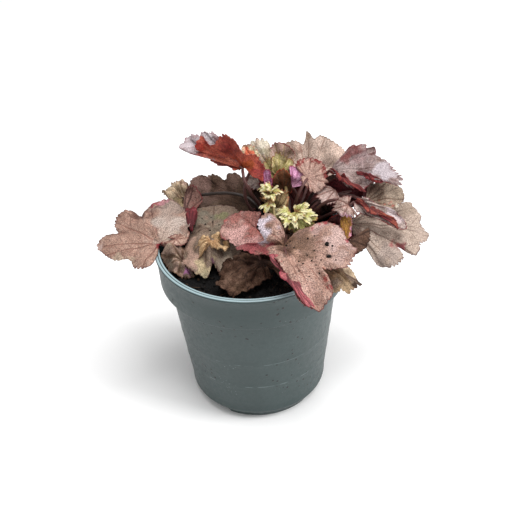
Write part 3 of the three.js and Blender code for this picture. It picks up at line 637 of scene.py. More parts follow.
def leaf_skin(name, top, deep, silver, silvering, vein, edge, under, under_deep, grain=0.42, seed=0.0,
              gloss=0.25):
    """A skin for both faces of a leaf. Colours are paints, and the rest are amounts."""
    skin = Finish(name)
    beside, along, rim = skin.number("beside"), skin.number("along"), skin.number("rim")
    clouds = skin.noise(75, 4, 0.6, seed)
    grains = skin.noise(1500, 3, 0.75, seed)
    blotches = skin.noise(330, 3, 0.6, seed + 1)
    crossing = skin.noise(160, 2, 0.5, seed + 2)

    from_vein = skin.maths("ADD", beside, skin.maths("MULTIPLY", along, 0.004))
    main_vein = skin.step(from_vein, 0.2, 0.85, 1, 0)
    slanted = skin.maths("MULTIPLY_ADD", beside, -SIDE_VEIN_SLANT, along)
    turns = skin.maths("DIVIDE", skin.maths("MULTIPLY_ADD", crossing, 5.0, slanted), SIDE_VEIN_PITCH)
    from_side = skin.maths("ABSOLUTE", skin.maths("SUBTRACT", skin.maths("FRACT", turns), 0.5))
    side_vein = skin.step(from_side, 0.42, 0.5)
    net = skin.step(skin.cells(420, seed, "DISTANCE_TO_EDGE"), 0.02, 0.11, 1, 0)
    veins = skin.maths("MAXIMUM", main_vein, skin.maths("MULTIPLY", side_vein, 0.7))
    fine_veins = skin.maths("MAXIMUM", veins, skin.maths("MULTIPLY", net, 0.3))

    colour = skin.mix(skin.step(clouds, 0.38, 0.68, 0, 0.6), paint(*top), paint(*deep))
    colour = skin.mix(skin.step(blotches, 0.45, 0.75, 0, 0.6 * silvering), colour, paint(*silver))
    colour = skin.mix(skin.maths("MULTIPLY", fine_veins, 0.75), colour, paint(*vein))
    frayed = skin.maths("MULTIPLY_ADD", blotches, 0.9, rim)
    edging = skin.step(frayed, *EDGE_FADE, 1, 0)
    colour = skin.mix(skin.maths("MULTIPLY", edging, 0.85), colour, paint(*edge))
    belly = skin.mix(skin.step(clouds, 0.4, 0.65), paint(*under), paint(*under_deep))
    belly = skin.mix(skin.maths("MULTIPLY", fine_veins, 0.45), belly, paint(*under_deep))
    colour = skin.mix(skin.step(skin.number("face"), -0.2, 0.2), belly, colour)

    tint = skin.number("tint", "Color")
    share = skin.number("tint", "Alpha")
    colour = skin.mix(share, colour, tint)
    # The grain is partly the leaf's own fine texture and partly painted highlight: its pale specks stand
    # for glints on the leaf's hairs.
    grain_and_glints = skin.step(grains, 0.32, 0.68, LEAF_DEPTH - grain, LEAF_DEPTH + grain)
    colour = skin.mix(1.0, colour, grain_and_glints, "MULTIPLY")
    rough = skin.step(blotches, 0.35, 0.7, 0.5, 0.75)
    height = skin.maths("MULTIPLY_ADD", grains, 0.55, skin.maths("MULTIPLY", fine_veins, -0.5))
    return skin.done(colour, rough, height, 0.45, gloss=gloss)


def stalk_skin(name, low, high):
    """A stalk's skin, from its colour at the crown to its colour at the leaf."""
    skin = Finish(name)
    streaks = skin.noise(900, 3, 0.6)
    colour = skin.mix(skin.step(skin.number("along"), 0.0, 1.0), paint(*low), paint(*high))
    colour = skin.mix(skin.step(streaks, 0.4, 0.7, 0, 0.5), colour, paint(*(0.6 * v for v in high)))
    return skin.done(colour, 0.5, streaks, 0.15)


print("side veins every", SIDE_VEIN_PITCH, "mm")

# %% [markdown]
# ## A leaf's shape
# A heuchera blade is a fan of rounded lobes round the point where the stalk meets it. Each leaf is
# stated by that point, its hub, and by places along its outline, its tips. A smooth line through
# the tips gives the outline, drawn in between lobes and cut into small rounded teeth. Then the
# sheet is cupped, quilted between its veins, creased, and rolled at its margins. Stating the tips
# gives each leaf its own bend and tilt in space, which copies of one leaf would not have.

# %% The outline
ROUNDNESS = 0.97
END_NOTCH = 0.2


def tip_line(tips, across):
    """Points on a smooth line through the tips. `across` counts tips."""
    ends = np.asarray(tips, float)
    before = 1.6 * ends[0] - 0.6 * ends[1]
    after = 1.6 * ends[-1] - 0.6 * ends[-2]
    line = np.vstack([before, ends, after])
    start = np.clip(np.floor(across).astype(int), -1, len(ends) - 1)
    t = (across - start)[:, None]

    def blend(values):
        a, b, c, d = (values[np.clip(start + k, 0, len(line) - 1)] for k in range(4))
        return 0.5 * (2 * b + (c - a) * t + (2 * a - 5 * b + 4 * c - d) * t * t
                      + (3 * b - a - 3 * c + d) * t ** 3)

    lengths = np.linalg.norm(line, axis=1)[:, None]
    heading = blend(line / lengths)
    return heading / np.linalg.norm(heading, axis=1)[:, None] * blend(lengths)


def drawn_in(leaf, across):
    """How far the outline falls back to the hub between two tips, as a share of its reach."""
    inner = np.broadcast_to(leaf.get("notches", 0), len(leaf["tips"]) - 1)
    notch = np.array([inner[int(k)] if 0 <= k < len(inner) else END_NOTCH for k in np.floor(across)])
    off = np.abs(across - np.round(across)) * 2
    return notch * (1 - np.sqrt(1 - (ROUNDNESS * off) ** 2)) / (1 - math.sqrt(1 - ROUNDNESS ** 2))


def leaf_normal(leaf):
    """The side of the leaf that is its upper face."""
    ends = np.asarray(leaf["tips"], float)
    normal = np.cross(ends[:-1], ends[1:]).sum(0)
    normal /= np.linalg.norm(normal)
    if normal @ [0, -0.5, 0.85] < 0:
        normal = -normal
    return -normal if leaf.get("turned") else normal


def stations(leaf, step):
    """Places along the outline, evenly spaced in mm, and the mm from its start to each."""
    across = np.linspace(-0.5, len(leaf["tips"]) - 0.5, 1600)
    rim = tip_line(leaf["tips"], across) * (1 - drawn_in(leaf, across))[:, None]
    travelled = np.append(0, np.cumsum(np.linalg.norm(np.diff(rim, axis=0), axis=1)))
    even = np.linspace(0, travelled[-1], max(12, round(travelled[-1] / step)))
    return np.interp(even, travelled, across), even


small_leaf = dict(tips=[[9, 0, 0], [8, 6, 0], [0, 9, 0]])
print("rim of a small leaf:", round(stations(small_leaf, 1)[1][-1]), "mm")

# %% The blade's middle surface
TOOTH_PITCH = 3.0
SMALL_TOOTH_PITCH = 2.6
ROLL_START = 0.8
FRILL_PITCH = 2.6
QUILT_HEIGHT = 0.45


def between(pairs, across):
    """A value that changes along the outline, stated as pairs of across and value."""
    places, values = np.array(pairs, float).T
    return np.interp(across, places, values)


def toothed(leaf, travelled, seed):
    """Small rounded teeth along the rim, as mm outward. Their pitch and depth vary."""
    spot = np.stack([travelled, 0 * travelled, 0 * travelled], axis=1)
    wander = 0.4 * ripples(spot, 16, seed + 5)
    wave = np.abs(np.sin(math.pi * (travelled / leaf.get("tooth_pitch", TOOTH_PITCH) + wander))) ** 0.8
    return leaf.get("teeth", 1.0) * (wave - 0.6) * (1 + 0.5 * ripples(spot, 11, seed + 6))


def near_vein(leaf, points):
    """For each point, the mm to the side of the nearest main vein, and the mm along it."""
    marks = np.array(leaf.get("veins", range(len(leaf["tips"]))), float)
    veins = tip_line(leaf["tips"], marks)
    veins = veins / np.linalg.norm(veins, axis=1)[:, None]
    along = points @ veins.T
    reach = np.linalg.norm(points, axis=-1)[..., None]
    beside = np.where(along > 0, np.sqrt(np.clip(reach ** 2 - along ** 2, 0, None)), reach)
    nearest = beside.argmin(-1)[..., None]
    return tuple(np.take_along_axis(values, nearest, -1)[..., 0] for values in (beside, along))


def crease(leaf, points, start, end, wide):
    """How strongly a crease between two places of the leaf lifts each point, from 0 to 1."""
    ends = tip_line(leaf["tips"], np.array([start[0], end[0]], float))
    a, b = ends[0] * start[1], ends[1] * end[1]
    share = np.clip((points - a) @ (b - a) / ((b - a) @ (b - a)), 0, 1)
    away = np.linalg.norm(points - (a + share[..., None] * (b - a)), axis=-1)
    return np.exp(-(away / wide) ** 2)


def blade_surface(leaf, across, travelled, out):
    """Points of the middle surface, a row for each value of out and a column for each of across."""
    ends = np.asarray(leaf["tips"], float)
    hub = np.asarray(leaf["hub"], float)
    size = np.linalg.norm(ends, axis=1).mean()
    seed = int(np.abs(hub).sum() * 7)
    normal = leaf_normal(leaf)
    line = tip_line(ends, across)
    full = np.linalg.norm(line, axis=1)
    away = line / full[:, None]
    column = np.asarray(out, float)[:, None]
    part = column * (1 - drawn_in(leaf, across) * column)
    part = part + ease(0.8, 1, column) * toothed(leaf, travelled, seed) / full

    bend = np.maximum(np.radians(between(leaf.get("roll", [(0, 0)]), across)), 0.01)
    share = np.clip((part - ROLL_START) / (1 - ROLL_START), 0, None)
    radius = full * (1 - ROLL_START) / np.sin(bend)
    along = full * np.minimum(part, ROLL_START) + radius * np.sin(bend * share)
    lift = radius * (1 - np.cos(bend * share))

    points = along[..., None] * away
    beside, veinwise = near_vein(leaf, points)
    lift = lift + leaf.get("cup", 0.06 * size) * 4 * part * (1 - part)
    lift = lift - leaf.get("pleat", 0.02 * size) * np.exp(-(beside / (0.07 * size + 1)) ** 2) * part
    crumple = leaf.get("crumple", 0)
    lift = lift + crumple * part * np.sin(7 * across + 5 * part + hub[1])
    lift = lift + crumple * 1.6 * ripples(points, 6, seed + 3) * ease(0, 0.5, part)
    quilt = np.abs(np.sin(math.pi * (veinwise - SIDE_VEIN_SLANT * beside) / SIDE_VEIN_PITCH))
    raised = QUILT_HEIGHT * quilt * ease(0.5, 4, beside) * ease(0.05, 0.3, part)
    lift = lift + raised * leaf.get("quilt", 1)
    waves = leaf.get("wavy", 1) * (ripples(points, 22, seed) + 0.45 * ripples(points, 9, seed + 1))
    lift = lift + (waves + 0.12 * ripples(points, 3.2, seed + 2)) * ease(0, 0.5, part)
    lift = lift + leaf.get("frill", 0.7) * ease(0.6, 1, part) * np.sin(travelled / FRILL_PITCH + hub[0])
    for start, end, wide, high in leaf.get("folds", []):
        lift = lift + high * crease(leaf, points, start, end, wide)
    return points + lift[..., None] * normal + hub, beside, veinwise, full


print("blade surface ready")

# %% The two faces of a blade
BLADE_THICKNESS = 0.5
RIM_THINNING = 0.45
RIDGE_HEIGHT, RIDGE_WIDTH = 0.35, 0.6
RINGS_TO_RIM = 1.45


def blade_shell(leaf, rings, step=0.5, thickness=BLADE_THICKNESS, finish=0):
    """A closed blade: the middle surface, shifted to both sides, with what its skin reads.

    Its rings crowd towards the rim, and its main veins stand out as ridges underneath.
    """
    across, travelled = stations(leaf, step)
    out = 1 - (1 - np.linspace(0, 1, rings + 1)[1:]) ** RINGS_TO_RIM
    middle, beside, veinwise, full = blade_surface(leaf, across, travelled, out)
    normal = leaf_normal(leaf)
    ahead, sideways = np.gradient(middle, axis=0), np.gradient(middle, axis=1)
    facing = np.cross(sideways, ahead)
    facing /= np.linalg.norm(facing, axis=2)[..., None] + 1e-9
    inner = facing[: rings // 2].mean((0, 1))
    flipped = inner @ normal < 0
    if flipped:
        facing = -facing
    ends = np.minimum(travelled, travelled[-1] - travelled)
    rim = np.minimum((1 - out[:, None]) * full, ends * out[:, None] + 0.3)
    half = thickness / 2 * (1 - RIM_THINNING * ease(0.9, 1, out))[:, None, None] * np.ones_like(facing)
    ridge = RIDGE_HEIGHT * np.exp(-(beside / RIDGE_WIDTH) ** 2) * (1 - out)[:, None]
    hub = np.asarray(leaf["hub"], float)
    rows, columns = middle.shape[:2]
    points, numbers, tints_and_shade = [], {key: [] for key in ("beside", "along", "rim", "face")}, []
    for side in (1, -1):
        shift = half + (ridge[..., None] if side < 0 else 0)
        face_points = np.concatenate([(middle + side * shift * facing).reshape(-1, 3),
                                      [hub + side * thickness / 2 * normal]])
        points.append(face_points)
        for key, grid, at_hub in (("beside", beside, 0), ("along", veinwise, 0), ("rim", rim, 20),
                                  ("face", np.full_like(beside, side), side)):
            numbers[key].append(np.append(grid.ravel(), at_hub))
        tints_and_shade.append(colour_and_shade_patches(leaf, face_points, side))
    count = rows * columns + 1
    grid = np.arange(rows * columns).reshape(rows, columns)
    quads = np.stack([grid[:-1, :-1], grid[:-1, 1:], grid[1:, 1:], grid[1:, :-1]], axis=-1)
    faces = [tuple(quad) for quad in quads.reshape(-1, 4).tolist()]
    faces += [(count - 1, column + 1, column) for column in range(columns - 1)]
    lower = [tuple(count + corner for corner in reversed(face)) for face in faces]
    edge = [row * columns for row in range(rows)]
    edge += [(rows - 1) * columns + column for column in range(1, columns)]
    edge += [row * columns + columns - 1 for row in range(rows - 2, -1, -1)] + [count - 1]
    walls = [(a, b, count + b, count + a) for a, b in zip(edge, edge[1:] + edge[:1])]
    faces += lower + walls
    if flipped:
        faces = [tuple(reversed(face)) for face in faces]
    numbers = {key: np.concatenate(values) for key, values in numbers.items()}
    return shell(np.concatenate(points), faces, finish=finish, tint=np.concatenate(tints_and_shade), **numbers)


def spot_on(leaf, across, out):
    """The place of a spot that is stated by across and out, on the flat fan of the lobes."""
    return tip_line(leaf["tips"], np.array([float(across)]))[0] * out + leaf["hub"]


def colour_and_shade_patches(leaf, points, side):
    """Local colours and some painted shade and highlights, as soft patches stated by across, out, radius
    in mm, paint, share and face.
    """
    tint = np.zeros((len(points), 4))
    for across, out, radius, colour, share, *face in leaf.get("patches", []):
        if face and face[0] != side:
            continue
        ragged = 0.28 * radius * ripples(points, radius, len(tint))
        distance = np.linalg.norm(points - spot_on(leaf, across, out), axis=1) + ragged
        amount = share * (1 - ease(0.55 * radius, 1.2 * radius, distance))
        keep = tint[:, 3] * (1 - amount)
        total = keep + amount
        mixed = tint[:, :3] * keep[:, None] + np.array(paint(*colour)[:3]) * amount[:, None]
        tint[:, :3] = mixed / np.maximum(total, 1e-6)[:, None]
        tint[:, 3] = total
    return tint


print("blade thickness", BLADE_THICKNESS, "mm, thinner at the rim")

# %% [markdown]
# ## Stalks
# Each stalk stands straight in the crown, arches out, and comes up under its leaf, where it runs
# on as the middle vein. A tube along a bent line makes it, thinner towards the leaf.

# %% The stalk under a leaf
STALK_RADIUS = 1.1
STALK_FOOT = 8
STALK_SINK = 0.55
STALK_SIDES = 10
ARCH_POINTS = 36


def stalk_shell(leaf, normal, vein):
    """A closed tube from the crown to the leaf's hub, with 0 to 1 along it for its skin."""
    ring, degrees = leaf["root"]
    angle = math.radians(degrees)
    out = np.array([math.cos(angle), math.sin(angle), 0])
    root = np.array([*CROWN_CENTRE, 0]) + out * SOCKET_RINGS[ring]
    root[2] = CROWN_TOP - SOCKET_DEPTH - ring * 1.5
    rise = out * (0.15 + ring * 0.3) + [0, 0, 1]
    rise /= np.linalg.norm(rise)
    neck = root + rise * STALK_FOOT
    under = np.asarray(leaf["hub"], float) - normal * STALK_SINK
    span = np.linalg.norm(under - neck)
    sway = np.asarray(leaf["sway"], float)
    lean = neck + rise * span * 0.35 + sway
    reach = under - (under - neck) * 0.3 + sway
    t = np.linspace(0, 1, ARCH_POINTS)[:, None]
    arch = neck * (1 - t) ** 3 + 3 * lean * t * (1 - t) ** 2 + 3 * reach * t * t * (1 - t) + under * t ** 3
    route = [root + (neck - root) * k for k in np.linspace(0, 1, 5)[:-1]] + list(arch)
    if (under - reach) @ vein > 0:
        route += [under + vein * k for k in (0.35, 0.7, 1.0)]
    radii = np.interp(np.arange(len(route)), [0, 6, len(route) - 5, len(route)], [1.25, 1.0, 0.85, 0.4])
    points, faces = tube(route, radii * STALK_RADIUS, STALK_SIDES)
    share = np.append(np.repeat(np.linspace(0, 1, len(route)), STALK_SIDES), [0, 1])
    points = points + 0.06 * ripples(points, 4, int(degrees), 6)[:, None]
    return shell(points, faces, finish=1, along=share)


print("stalks are", 2 * STALK_RADIUS, "mm thick")

# %% [markdown]
# ## The paints
# One heuchera carries leaves of every age: lime and frilled when new, then rosy, silvered brown,
# bronze, and tan when dry. Each kind is one set of paints, and a leaf names the kind it belongs to
# and states only the paints that differ from it.

# %% Name the kinds of leaf
PAINT_NAMES = ("top", "deep", "silver", "vein", "edge", "under", "under_deep")


def kind(silvering, *paints, **more):
    """The skin of one kind of leaf: how silvered it is, and its paints in the order above."""
    return dict(zip(PAINT_NAMES, paints), silvering=silvering, **more)


KINDS = {
    "pink_brown": kind(0.45, (176, 140, 124), (142, 103, 88), (196, 176, 164), (122, 80, 68),
                       (92, 40, 38), (150, 60, 62), (96, 32, 38)),
    "taupe": kind(0.5, (138, 117, 101), (104, 84, 68), (168, 154, 140), (86, 62, 50), (78, 38, 36),
                  (140, 62, 66), (92, 34, 42)),
    "bronze": kind(0.35, (84, 64, 52), (62, 45, 37), (110, 92, 80), (48, 32, 27), (46, 24, 24),
                   (92, 38, 36), (58, 24, 24), gloss=0.1),
    "rosy": kind(0.4, (168, 122, 112), (140, 84, 76), (190, 152, 142), (130, 72, 66), (168, 46, 60),
                 (160, 58, 68), (112, 34, 46)),
    "silvered": kind(0.7, (150, 130, 126), (120, 92, 88), (190, 178, 182), (96, 66, 64), (110, 36, 44),
                     (150, 48, 40), (100, 28, 28)),
    "pale_tan": kind(0.45, (184, 158, 144), (156, 128, 112), (208, 190, 178), (142, 112, 98),
                     (108, 84, 66), (170, 120, 108), (130, 82, 74)),
    "rust": kind(0.6, (178, 160, 162), (140, 110, 110), (202, 190, 196), (110, 70, 70), (112, 30, 52),
                 (146, 46, 30), (108, 28, 22)),
    "cream": kind(0.4, (196, 182, 150), (168, 150, 118), (214, 204, 180), (150, 128, 92), (150, 70, 60),
                  (188, 160, 140), (150, 110, 96)),
    "lilac": kind(0.5, (190, 134, 168), (160, 92, 132), (212, 172, 198), (132, 60, 96), (150, 24, 60),
                  (176, 90, 130), (130, 40, 80)),
    "maroon": kind(0.3, (74, 32, 30), (50, 20, 20), (98, 52, 48), (38, 14, 16), (120, 30, 30),
                   (78, 22, 26), (50, 14, 18), gloss=0.1),
    "shade": kind(0.3, (58, 36, 30), (30, 17, 15), (76, 50, 42), (28, 16, 14), (64, 24, 22), (56, 30, 28),
                  (34, 18, 18), gloss=0.1),
    "crimson": kind(0.3, (128, 46, 50), (84, 26, 34), (160, 80, 84), (70, 20, 28), (110, 24, 36),
                    (128, 46, 50), (84, 26, 34)),
    "straw": kind(0.5, (160, 138, 98), (96, 70, 48), (196, 180, 132), (84, 60, 42), (150, 84, 56),
                  (150, 122, 90), (104, 76, 56)),
    "ochre": kind(0.3, (168, 122, 48), (132, 88, 34), (190, 150, 80), (110, 66, 30), (180, 110, 130),
                  (190, 140, 150), (150, 90, 100)),
    "dried": kind(0.6, (168, 146, 112), (122, 98, 72), (214, 200, 168), (104, 78, 56), (110, 80, 58),
                  (150, 122, 92), (108, 80, 60)),
    "dead": kind(0.5, (98, 72, 58), (62, 42, 34), (140, 112, 94), (46, 30, 24), (50, 32, 26),
                 (84, 56, 46), (52, 34, 28), gloss=0.1),
    "lime": kind(0.5, (204, 204, 128), (176, 168, 98), (228, 226, 170), (162, 150, 84), (176, 96, 60),
                 (196, 190, 130), (160, 140, 90)),
}
print("kinds of leaf:", ", ".join(KINDS))

# %% [markdown]
# ## The leaves
# Each leaf states its hub, the tips of its lobes from there, how deep the lobes are cut, how its
# margins roll, where its stalk stands in the crown, its creases, and its patches: mostly colour of
# its own, and on some leaves painted shade and painted highlight, marked where they stand. A place
# on a leaf is given by how many tips along its outline it lies, and by its share of the way out.
# The leaves are built in one loop, because they differ in numbers and not in their making.

# %% State the leaves
# Painted shade: these stalks are painted almost black, darker than their own maroon, so that they read as
# in shadow and lose the highlight a lamp lays on them.
DARK_STALK = ((36, 26, 22), (50, 37, 31))


def streak(radius, colour, share, *places):
    """Patches of one look at several places, such as along a margin."""
    return [(across, out, radius, colour, share) for across, out in places]


LEAVES = [
    dict(name="leaf_far_left", kind="pink_brown", hub=[-56.5, -3.5, 118.5], cup=2, sway=[6, 6, -7],
         root=[2, 183], veins=[2.7, 7.1, 8.6, 13.2, 18.9, 22.9, 25.3],
         roll=[(21, 0), (24, 40), (27, 60), (29, 30)], quilt=0.8,
         paints=dict(top=(172, 138, 122), deep=(136, 100, 86), grain=0.5),
         tips=[[-1.5, -5.5, -1], [-3, -12.5, -2.5], [-6.5, -17, -4], [-12, -16.5, -5], [-16, -14, -5.5],
               [-18.5, -8, -5], [-25, -7, -6], [-33, -2, -6.5], [-38, 4.5, -6], [-40.5, 9.5, -5.5],
               [-37, 13, -3.5], [-32, 16.5, -1.5], [-27.5, 16.5, -1], [-29.5, 23, 0.5],
               [-27.5, 29.5, 2.5], [-22.5, 31, 4], [-16.5, 29, 4.5], [-12.5, 25.5, 4.5], [-9, 27.5, 6],
               [-6, 32, 8], [-1.5, 34.5, 9], [3, 34.5, 9], [7, 32.5, 9], [12.5, 29, 8], [16.5, 22, 6.5],
               [19, 13.5, 4.5], [18.5, 7, 3], [17.5, 2.5, 1.5], [13.5, -2.5, 0], [8, -4, -1],
               [3.5, -2, -0.5]],
         folds=[((19.33, 0.97), (20.75, 0.6), 2.2, 1.6), ((18, 0.93), (17.08, 0.42), 2.6, 1.2),
                ((11.75, 0.9), (12.33, 0.45), 2.4, -1.1), ((28, 0.2), (27.17, 0.6), 1.7, 1.7),
                ((27.17, 0.6), (25.92, 0.93), 1.7, 1.7), ((18.42, 0.85), (15.42, 0.25), 2, -1.6)],
         # Painted shade among these patches: the dark line at across 17.2 to 18 along the bowl's edge, the
         # dark corner at 15.5 and 16.7 where a lobe tucks under the next, and the browns at 10.9 and 12.2
         # along a lobe's upper edge.
         patches=[(22.8, 0.68, 12, (150, 134, 124), 0.8), (24.5, 0.55, 12, (178, 162, 152), 0.85),
                  (24.4, 0.23, 7, (176, 158, 146), 0.7), (18, 0.68, 3.4, (108, 78, 66), 0.8),
                  (17.4, 0.4, 3, (122, 90, 76), 0.75), (17.2, 0.1, 2.6, (130, 98, 82), 0.7),
                  (25.8, 0.88, 5, (126, 92, 78), 0.7), (26.8, 1, 4, (146, 114, 98), 0.6),
                  (28.1, 0.72, 6, (182, 160, 142), 0.7), (16.7, 0.97, 5.5, (104, 72, 62), 0.85),
                  (15.5, 0.95, 3.5, (122, 88, 78), 0.7), (10.9, 0.9, 4, (112, 80, 66), 0.75),
                  (12.2, 0.88, 3, (142, 106, 94), 0.5), (19.5, 0.93, 3.4, (150, 52, 66), 0.9),
                  (20.1, 0.72, 4.2, (92, 50, 50), 0.85), (20.8, 0.95, 3.8, (186, 132, 140), 0.85),
                  (13.9, 1, 3, (98, 68, 58), 0.8), (16.1, 0.97, 4, (98, 66, 56), 0.85),
                  (17.9, 0.97, 3.4, (108, 74, 64), 0.7), (10.6, 0.97, 3, (104, 76, 62), 0.8),
                  (18.9, 1, 2.6, (98, 68, 68), 0.7), (8.6, 0.97, 3, (208, 180, 170), 0.8),
                  (6.2, 0.97, 4.5, (192, 172, 150), 0.6), (4.8, 1, 4, (188, 168, 146), 0.5),
                  (0.8, 0.2, 2.4, (130, 30, 40), 0.9)]),
    dict(name="leaf_left_dried", kind="dried", hub=[-42.5, 42.5, 121], small=True, cup=0.5, crumple=2.2,
         sway=[6, -6, 14], root=[2, 141], wavy=2.6, frill=1.8, teeth=1.3,
         paints=dict(top=(222, 198, 168), deep=(180, 150, 120), silver=(246, 232, 208)), stalk=DARK_STALK,
         tips=[[1, -4, -4], [-5, -3, -3], [-13, 6, 1], [-9, 11, 4], [-2, 13, 6], [4, 9, 4]], notches=0.1,
         # Painted light among these patches: the pale one at across 2.4 is a painted highlight on a
         # crumple, and the brown one on the edge at 2.8 is painted shade in a crease.
         patches=[(4.3, 0.88, 4, (190, 150, 146), 0.5), (1.1, 0.7, 3.5, (196, 176, 128), 0.6),
                  (2, 0.4, 2.2, (104, 74, 54), 0.8), (2.8, 1, 4, (150, 122, 98), 0.5),
                  (2.4, 0.65, 4, (226, 204, 172), 0.6)]),
    dict(name="leaf_left_folded", kind="maroon", hub=[-41, 22.9, 120.4], small=True, cup=1,
         sway=[-7, 0, -9], root=[2, 167], teeth=1,
         paints=dict(top=(146, 112, 102), deep=(112, 80, 72), silver=(168, 136, 126), edge=(120, 40, 48)),
         stalk=DARK_STALK,
         tips=[[-1, 6, 3], [1, 15, 10], [6, 16, 12], [11, 9, 7], [8, 3, 4]], notches=0.05,
         patches=[(1.2, 0.93, 2.4, (58, 34, 30), 0.85), (1.9, 0.88, 2, (70, 42, 36), 0.7),
                  (3, 0.65, 3, (120, 80, 72), 0.6)]),
    dict(name="leaf_back_left_dark", kind="bronze", hub=[3.5, 32.5, 116], cup=1, sway=[-8, -2, 5],
         root=[1, 180], veins=[3.1, 6.1, 9.6, 15.2, 18.2],
         tips=[[-11, -5, -1.5], [-19, -8, -2.5], [-26.5, -6, -2.5], [-33, -0.5, -2], [-37.5, 8.5, -0.5],
               [-40.5, 16.5, 1], [-42.5, 22.5, 2.5], [-42, 28.5, 5], [-39.5, 31, 7], [-35.5, 30, 9],
               [-30.5, 27.5, 9.5], [-26.5, 27.5, 10.5], [-22.5, 25.5, 10.5], [-19, 23, 9.5],
               [-17, 24.5, 10.5], [-13.5, 26.5, 11.5], [-9.5, 25, 12], [-6.5, 22, 10.5], [-2, 20.5, 10],
               [3.5, 16, 8.5], [8, 11.5, 7.5], [11.5, 5.5, 5.5], [10, 4.5, 5]],
         folds=[((11.58, 0.82), (5, 0.33), 2.4, -1.4)],
         patches=[(7.1, 0.85, 9, (132, 104, 96), 0.8), (5, 0.78, 7, (116, 92, 84), 0.7),
                  (3.5, 0.72, 7, (122, 102, 86), 0.5), (14.1, 0.82, 7, (98, 76, 68), 0.5),
                  (6.9, 0.23, 11, (74, 56, 44), 0.8), (19.4, 0.47, 9, (46, 32, 27), 0.85),
                  (8.8, 0.57, 7, (92, 70, 60), 0.6)]),
    dict(name="leaf_front_left", kind="taupe", hub=[-23.5, 4.3, 122.4], cup=3, sway=[5, -8, 0],
         root=[1, 197], veins=[0.1, 2.9, 6, 11.9, 15.7, 19.1, 21.8, 24.6],
         tips=[[19.5, 2.5, 0], [20, -5.5, -0.5], [19.5, -13, -3], [16.5, -16, -7], [15, -20, -10.5],
               [13, -27, -13], [8.5, -30.5, -13.5], [4.5, -29, -13.5], [2, -26.5, -12.5],
               [-0.5, -23, -10.5], [-2, -27.5, -12.5], [-4, -31.5, -14], [-7, -30, -14], [-9, -28.5, -13],
               [-10.5, -29, -13.5], [-14, -27, -12.5], [-17, -22.5, -11], [-19, -18, -9.5],
               [-19.5, -11.5, -8], [-17, -4, -6], [-14.5, 4, -4], [-13.5, 12.5, -2.5], [-13, 21, -2],
               [-8.5, 25, -1], [-3, 26.5, -1], [4.5, 26, -1], [10.5, 22.5, -1], [16, 18.5, -1],
               [21.5, 8, -1]],
         folds=[((3.58, 0.65), (14.08, 0.55), 3.2, 2.6), ((15, 0.4), (14.33, 0.9), 2.4, -1.4),
                ((28.42, 0.6), (4, 0.38), 4, -1.2)],
         # Painted shade among these patches: the dark one at across 9.1 in the slit between two lobes, the
         # dark hollow at 19.8 near the hub, and the brown line at 14.2 between two lower lobes.
         patches=[(22.3, 0.53, 7, (114, 106, 92), 0.8), (19.8, 0.5, 3.2, (70, 52, 42), 0.85),
                  (18.2, 0.12, 2.4, (84, 62, 50), 0.7), (26.3, 0.47, 5, (120, 120, 82), 0.7),
                  (1.6, 0.17, 6, (148, 134, 116), 0.7), (2.7, 0.6, 7, (160, 142, 130), 0.7),
                  (15.3, 0.28, 5, (154, 132, 112), 0.6), (18.1, 0.75, 7, (190, 156, 138), 0.75),
                  (15.8, 0.88, 7, (190, 156, 140), 0.8), (14, 0.5, 4.5, (200, 160, 112), 0.85),
                  (8, 0.47, 5, (212, 172, 124), 0.85), (5, 0.47, 4, (214, 178, 130), 0.85),
                  (14.2, 0.72, 2.6, (140, 108, 80), 0.7), (11.8, 0.82, 6, (200, 180, 144), 0.85),
                  (11.8, 0.97, 3, (216, 202, 164), 0.7), (5.8, 0.75, 7, (170, 152, 134), 0.8),
                  (5.8, 0.97, 3.4, (192, 174, 160), 0.6), (10.2, 0.75, 3.2, (96, 44, 88), 0.95),
                  (9.1, 0.8, 3, (60, 34, 44), 0.9), (3.3, 0.85, 4, (146, 122, 104), 0.6),
                  (21.9, 0.5, 0.9, (230, 226, 220), 0.9)],
         litter=[(21.9, 0.5, 0.5), (20.8, 0.3, 0.6), (24.6, 0.17, 0.5), (0.4, 0.2, 0.7),
                 (24.1, 0.45, 0.4), (1.7, 0.35, 0.5), (16.2, 0.12, 0.6)]),
    dict(name="leaf_front_rosy", kind="rosy", hub=[3, -8.5, 129], sway=[-2, 2, -1], root=[1, 240],
         veins=[0, 1.8, 2.9, 4.4, 5.8],
         paints=dict(top=(152, 112, 104), deep=(120, 76, 70), silver=(196, 168, 158), silvering=0.6,
                     grain=0.65, edge=(134, 58, 62)),
         tips=[[7, -13, -5], [-4, -12, -5], [-14, -9, -4], [-21, -4, -2], [-16, 14, 1], [-7, 14, 4],
               [2, 10, 5]], notches=[0.03, 0.05, 0.08, 0.15, 0.08, 0.05],
         patches=[(3.8, 0.65, 7, (150, 92, 84), 0.7), (5.2, 0.57, 7, (140, 88, 80), 0.7),
                  (6.5, 0.5, 5, (120, 72, 66), 0.7), (3.1, 0.75, 6, (196, 154, 144), 0.7),
                  (2.1, 0.75, 8, (194, 150, 144), 0.8), (0.9, 0.75, 5, (190, 140, 136), 0.7),
                  (3.6, 0.85, 3, (200, 80, 80), 0.6), (0.6, 0.17, 4, (150, 84, 76), 0.6)]),
    dict(name="leaf_front_right", kind="pink_brown", hub=[18.5, -37, 135], cup=2, sway=[1, -7, 3],
         root=[1, 265], veins=[0.7, 3, 6.8, 10.7, 19.9, 22.2, 24.6, 30.8, 32.9, 36.5], quilt=0.8,
         paints=dict(top=(170, 136, 122), deep=(132, 98, 84), silver=(200, 178, 168), silvering=0.55,
                     grain=0.6),
         tips=[[0.5, 8.5, 4], [-1, 13, 7.5], [-3.5, 16, 10], [-7, 19.5, 11.5], [-10.5, 19.5, 11],
               [-12.5, 16.5, 10], [-14, 13, 8.5], [-13.5, 8, 6], [-11, 4, 2], [-16.5, 6.5, -0.5],
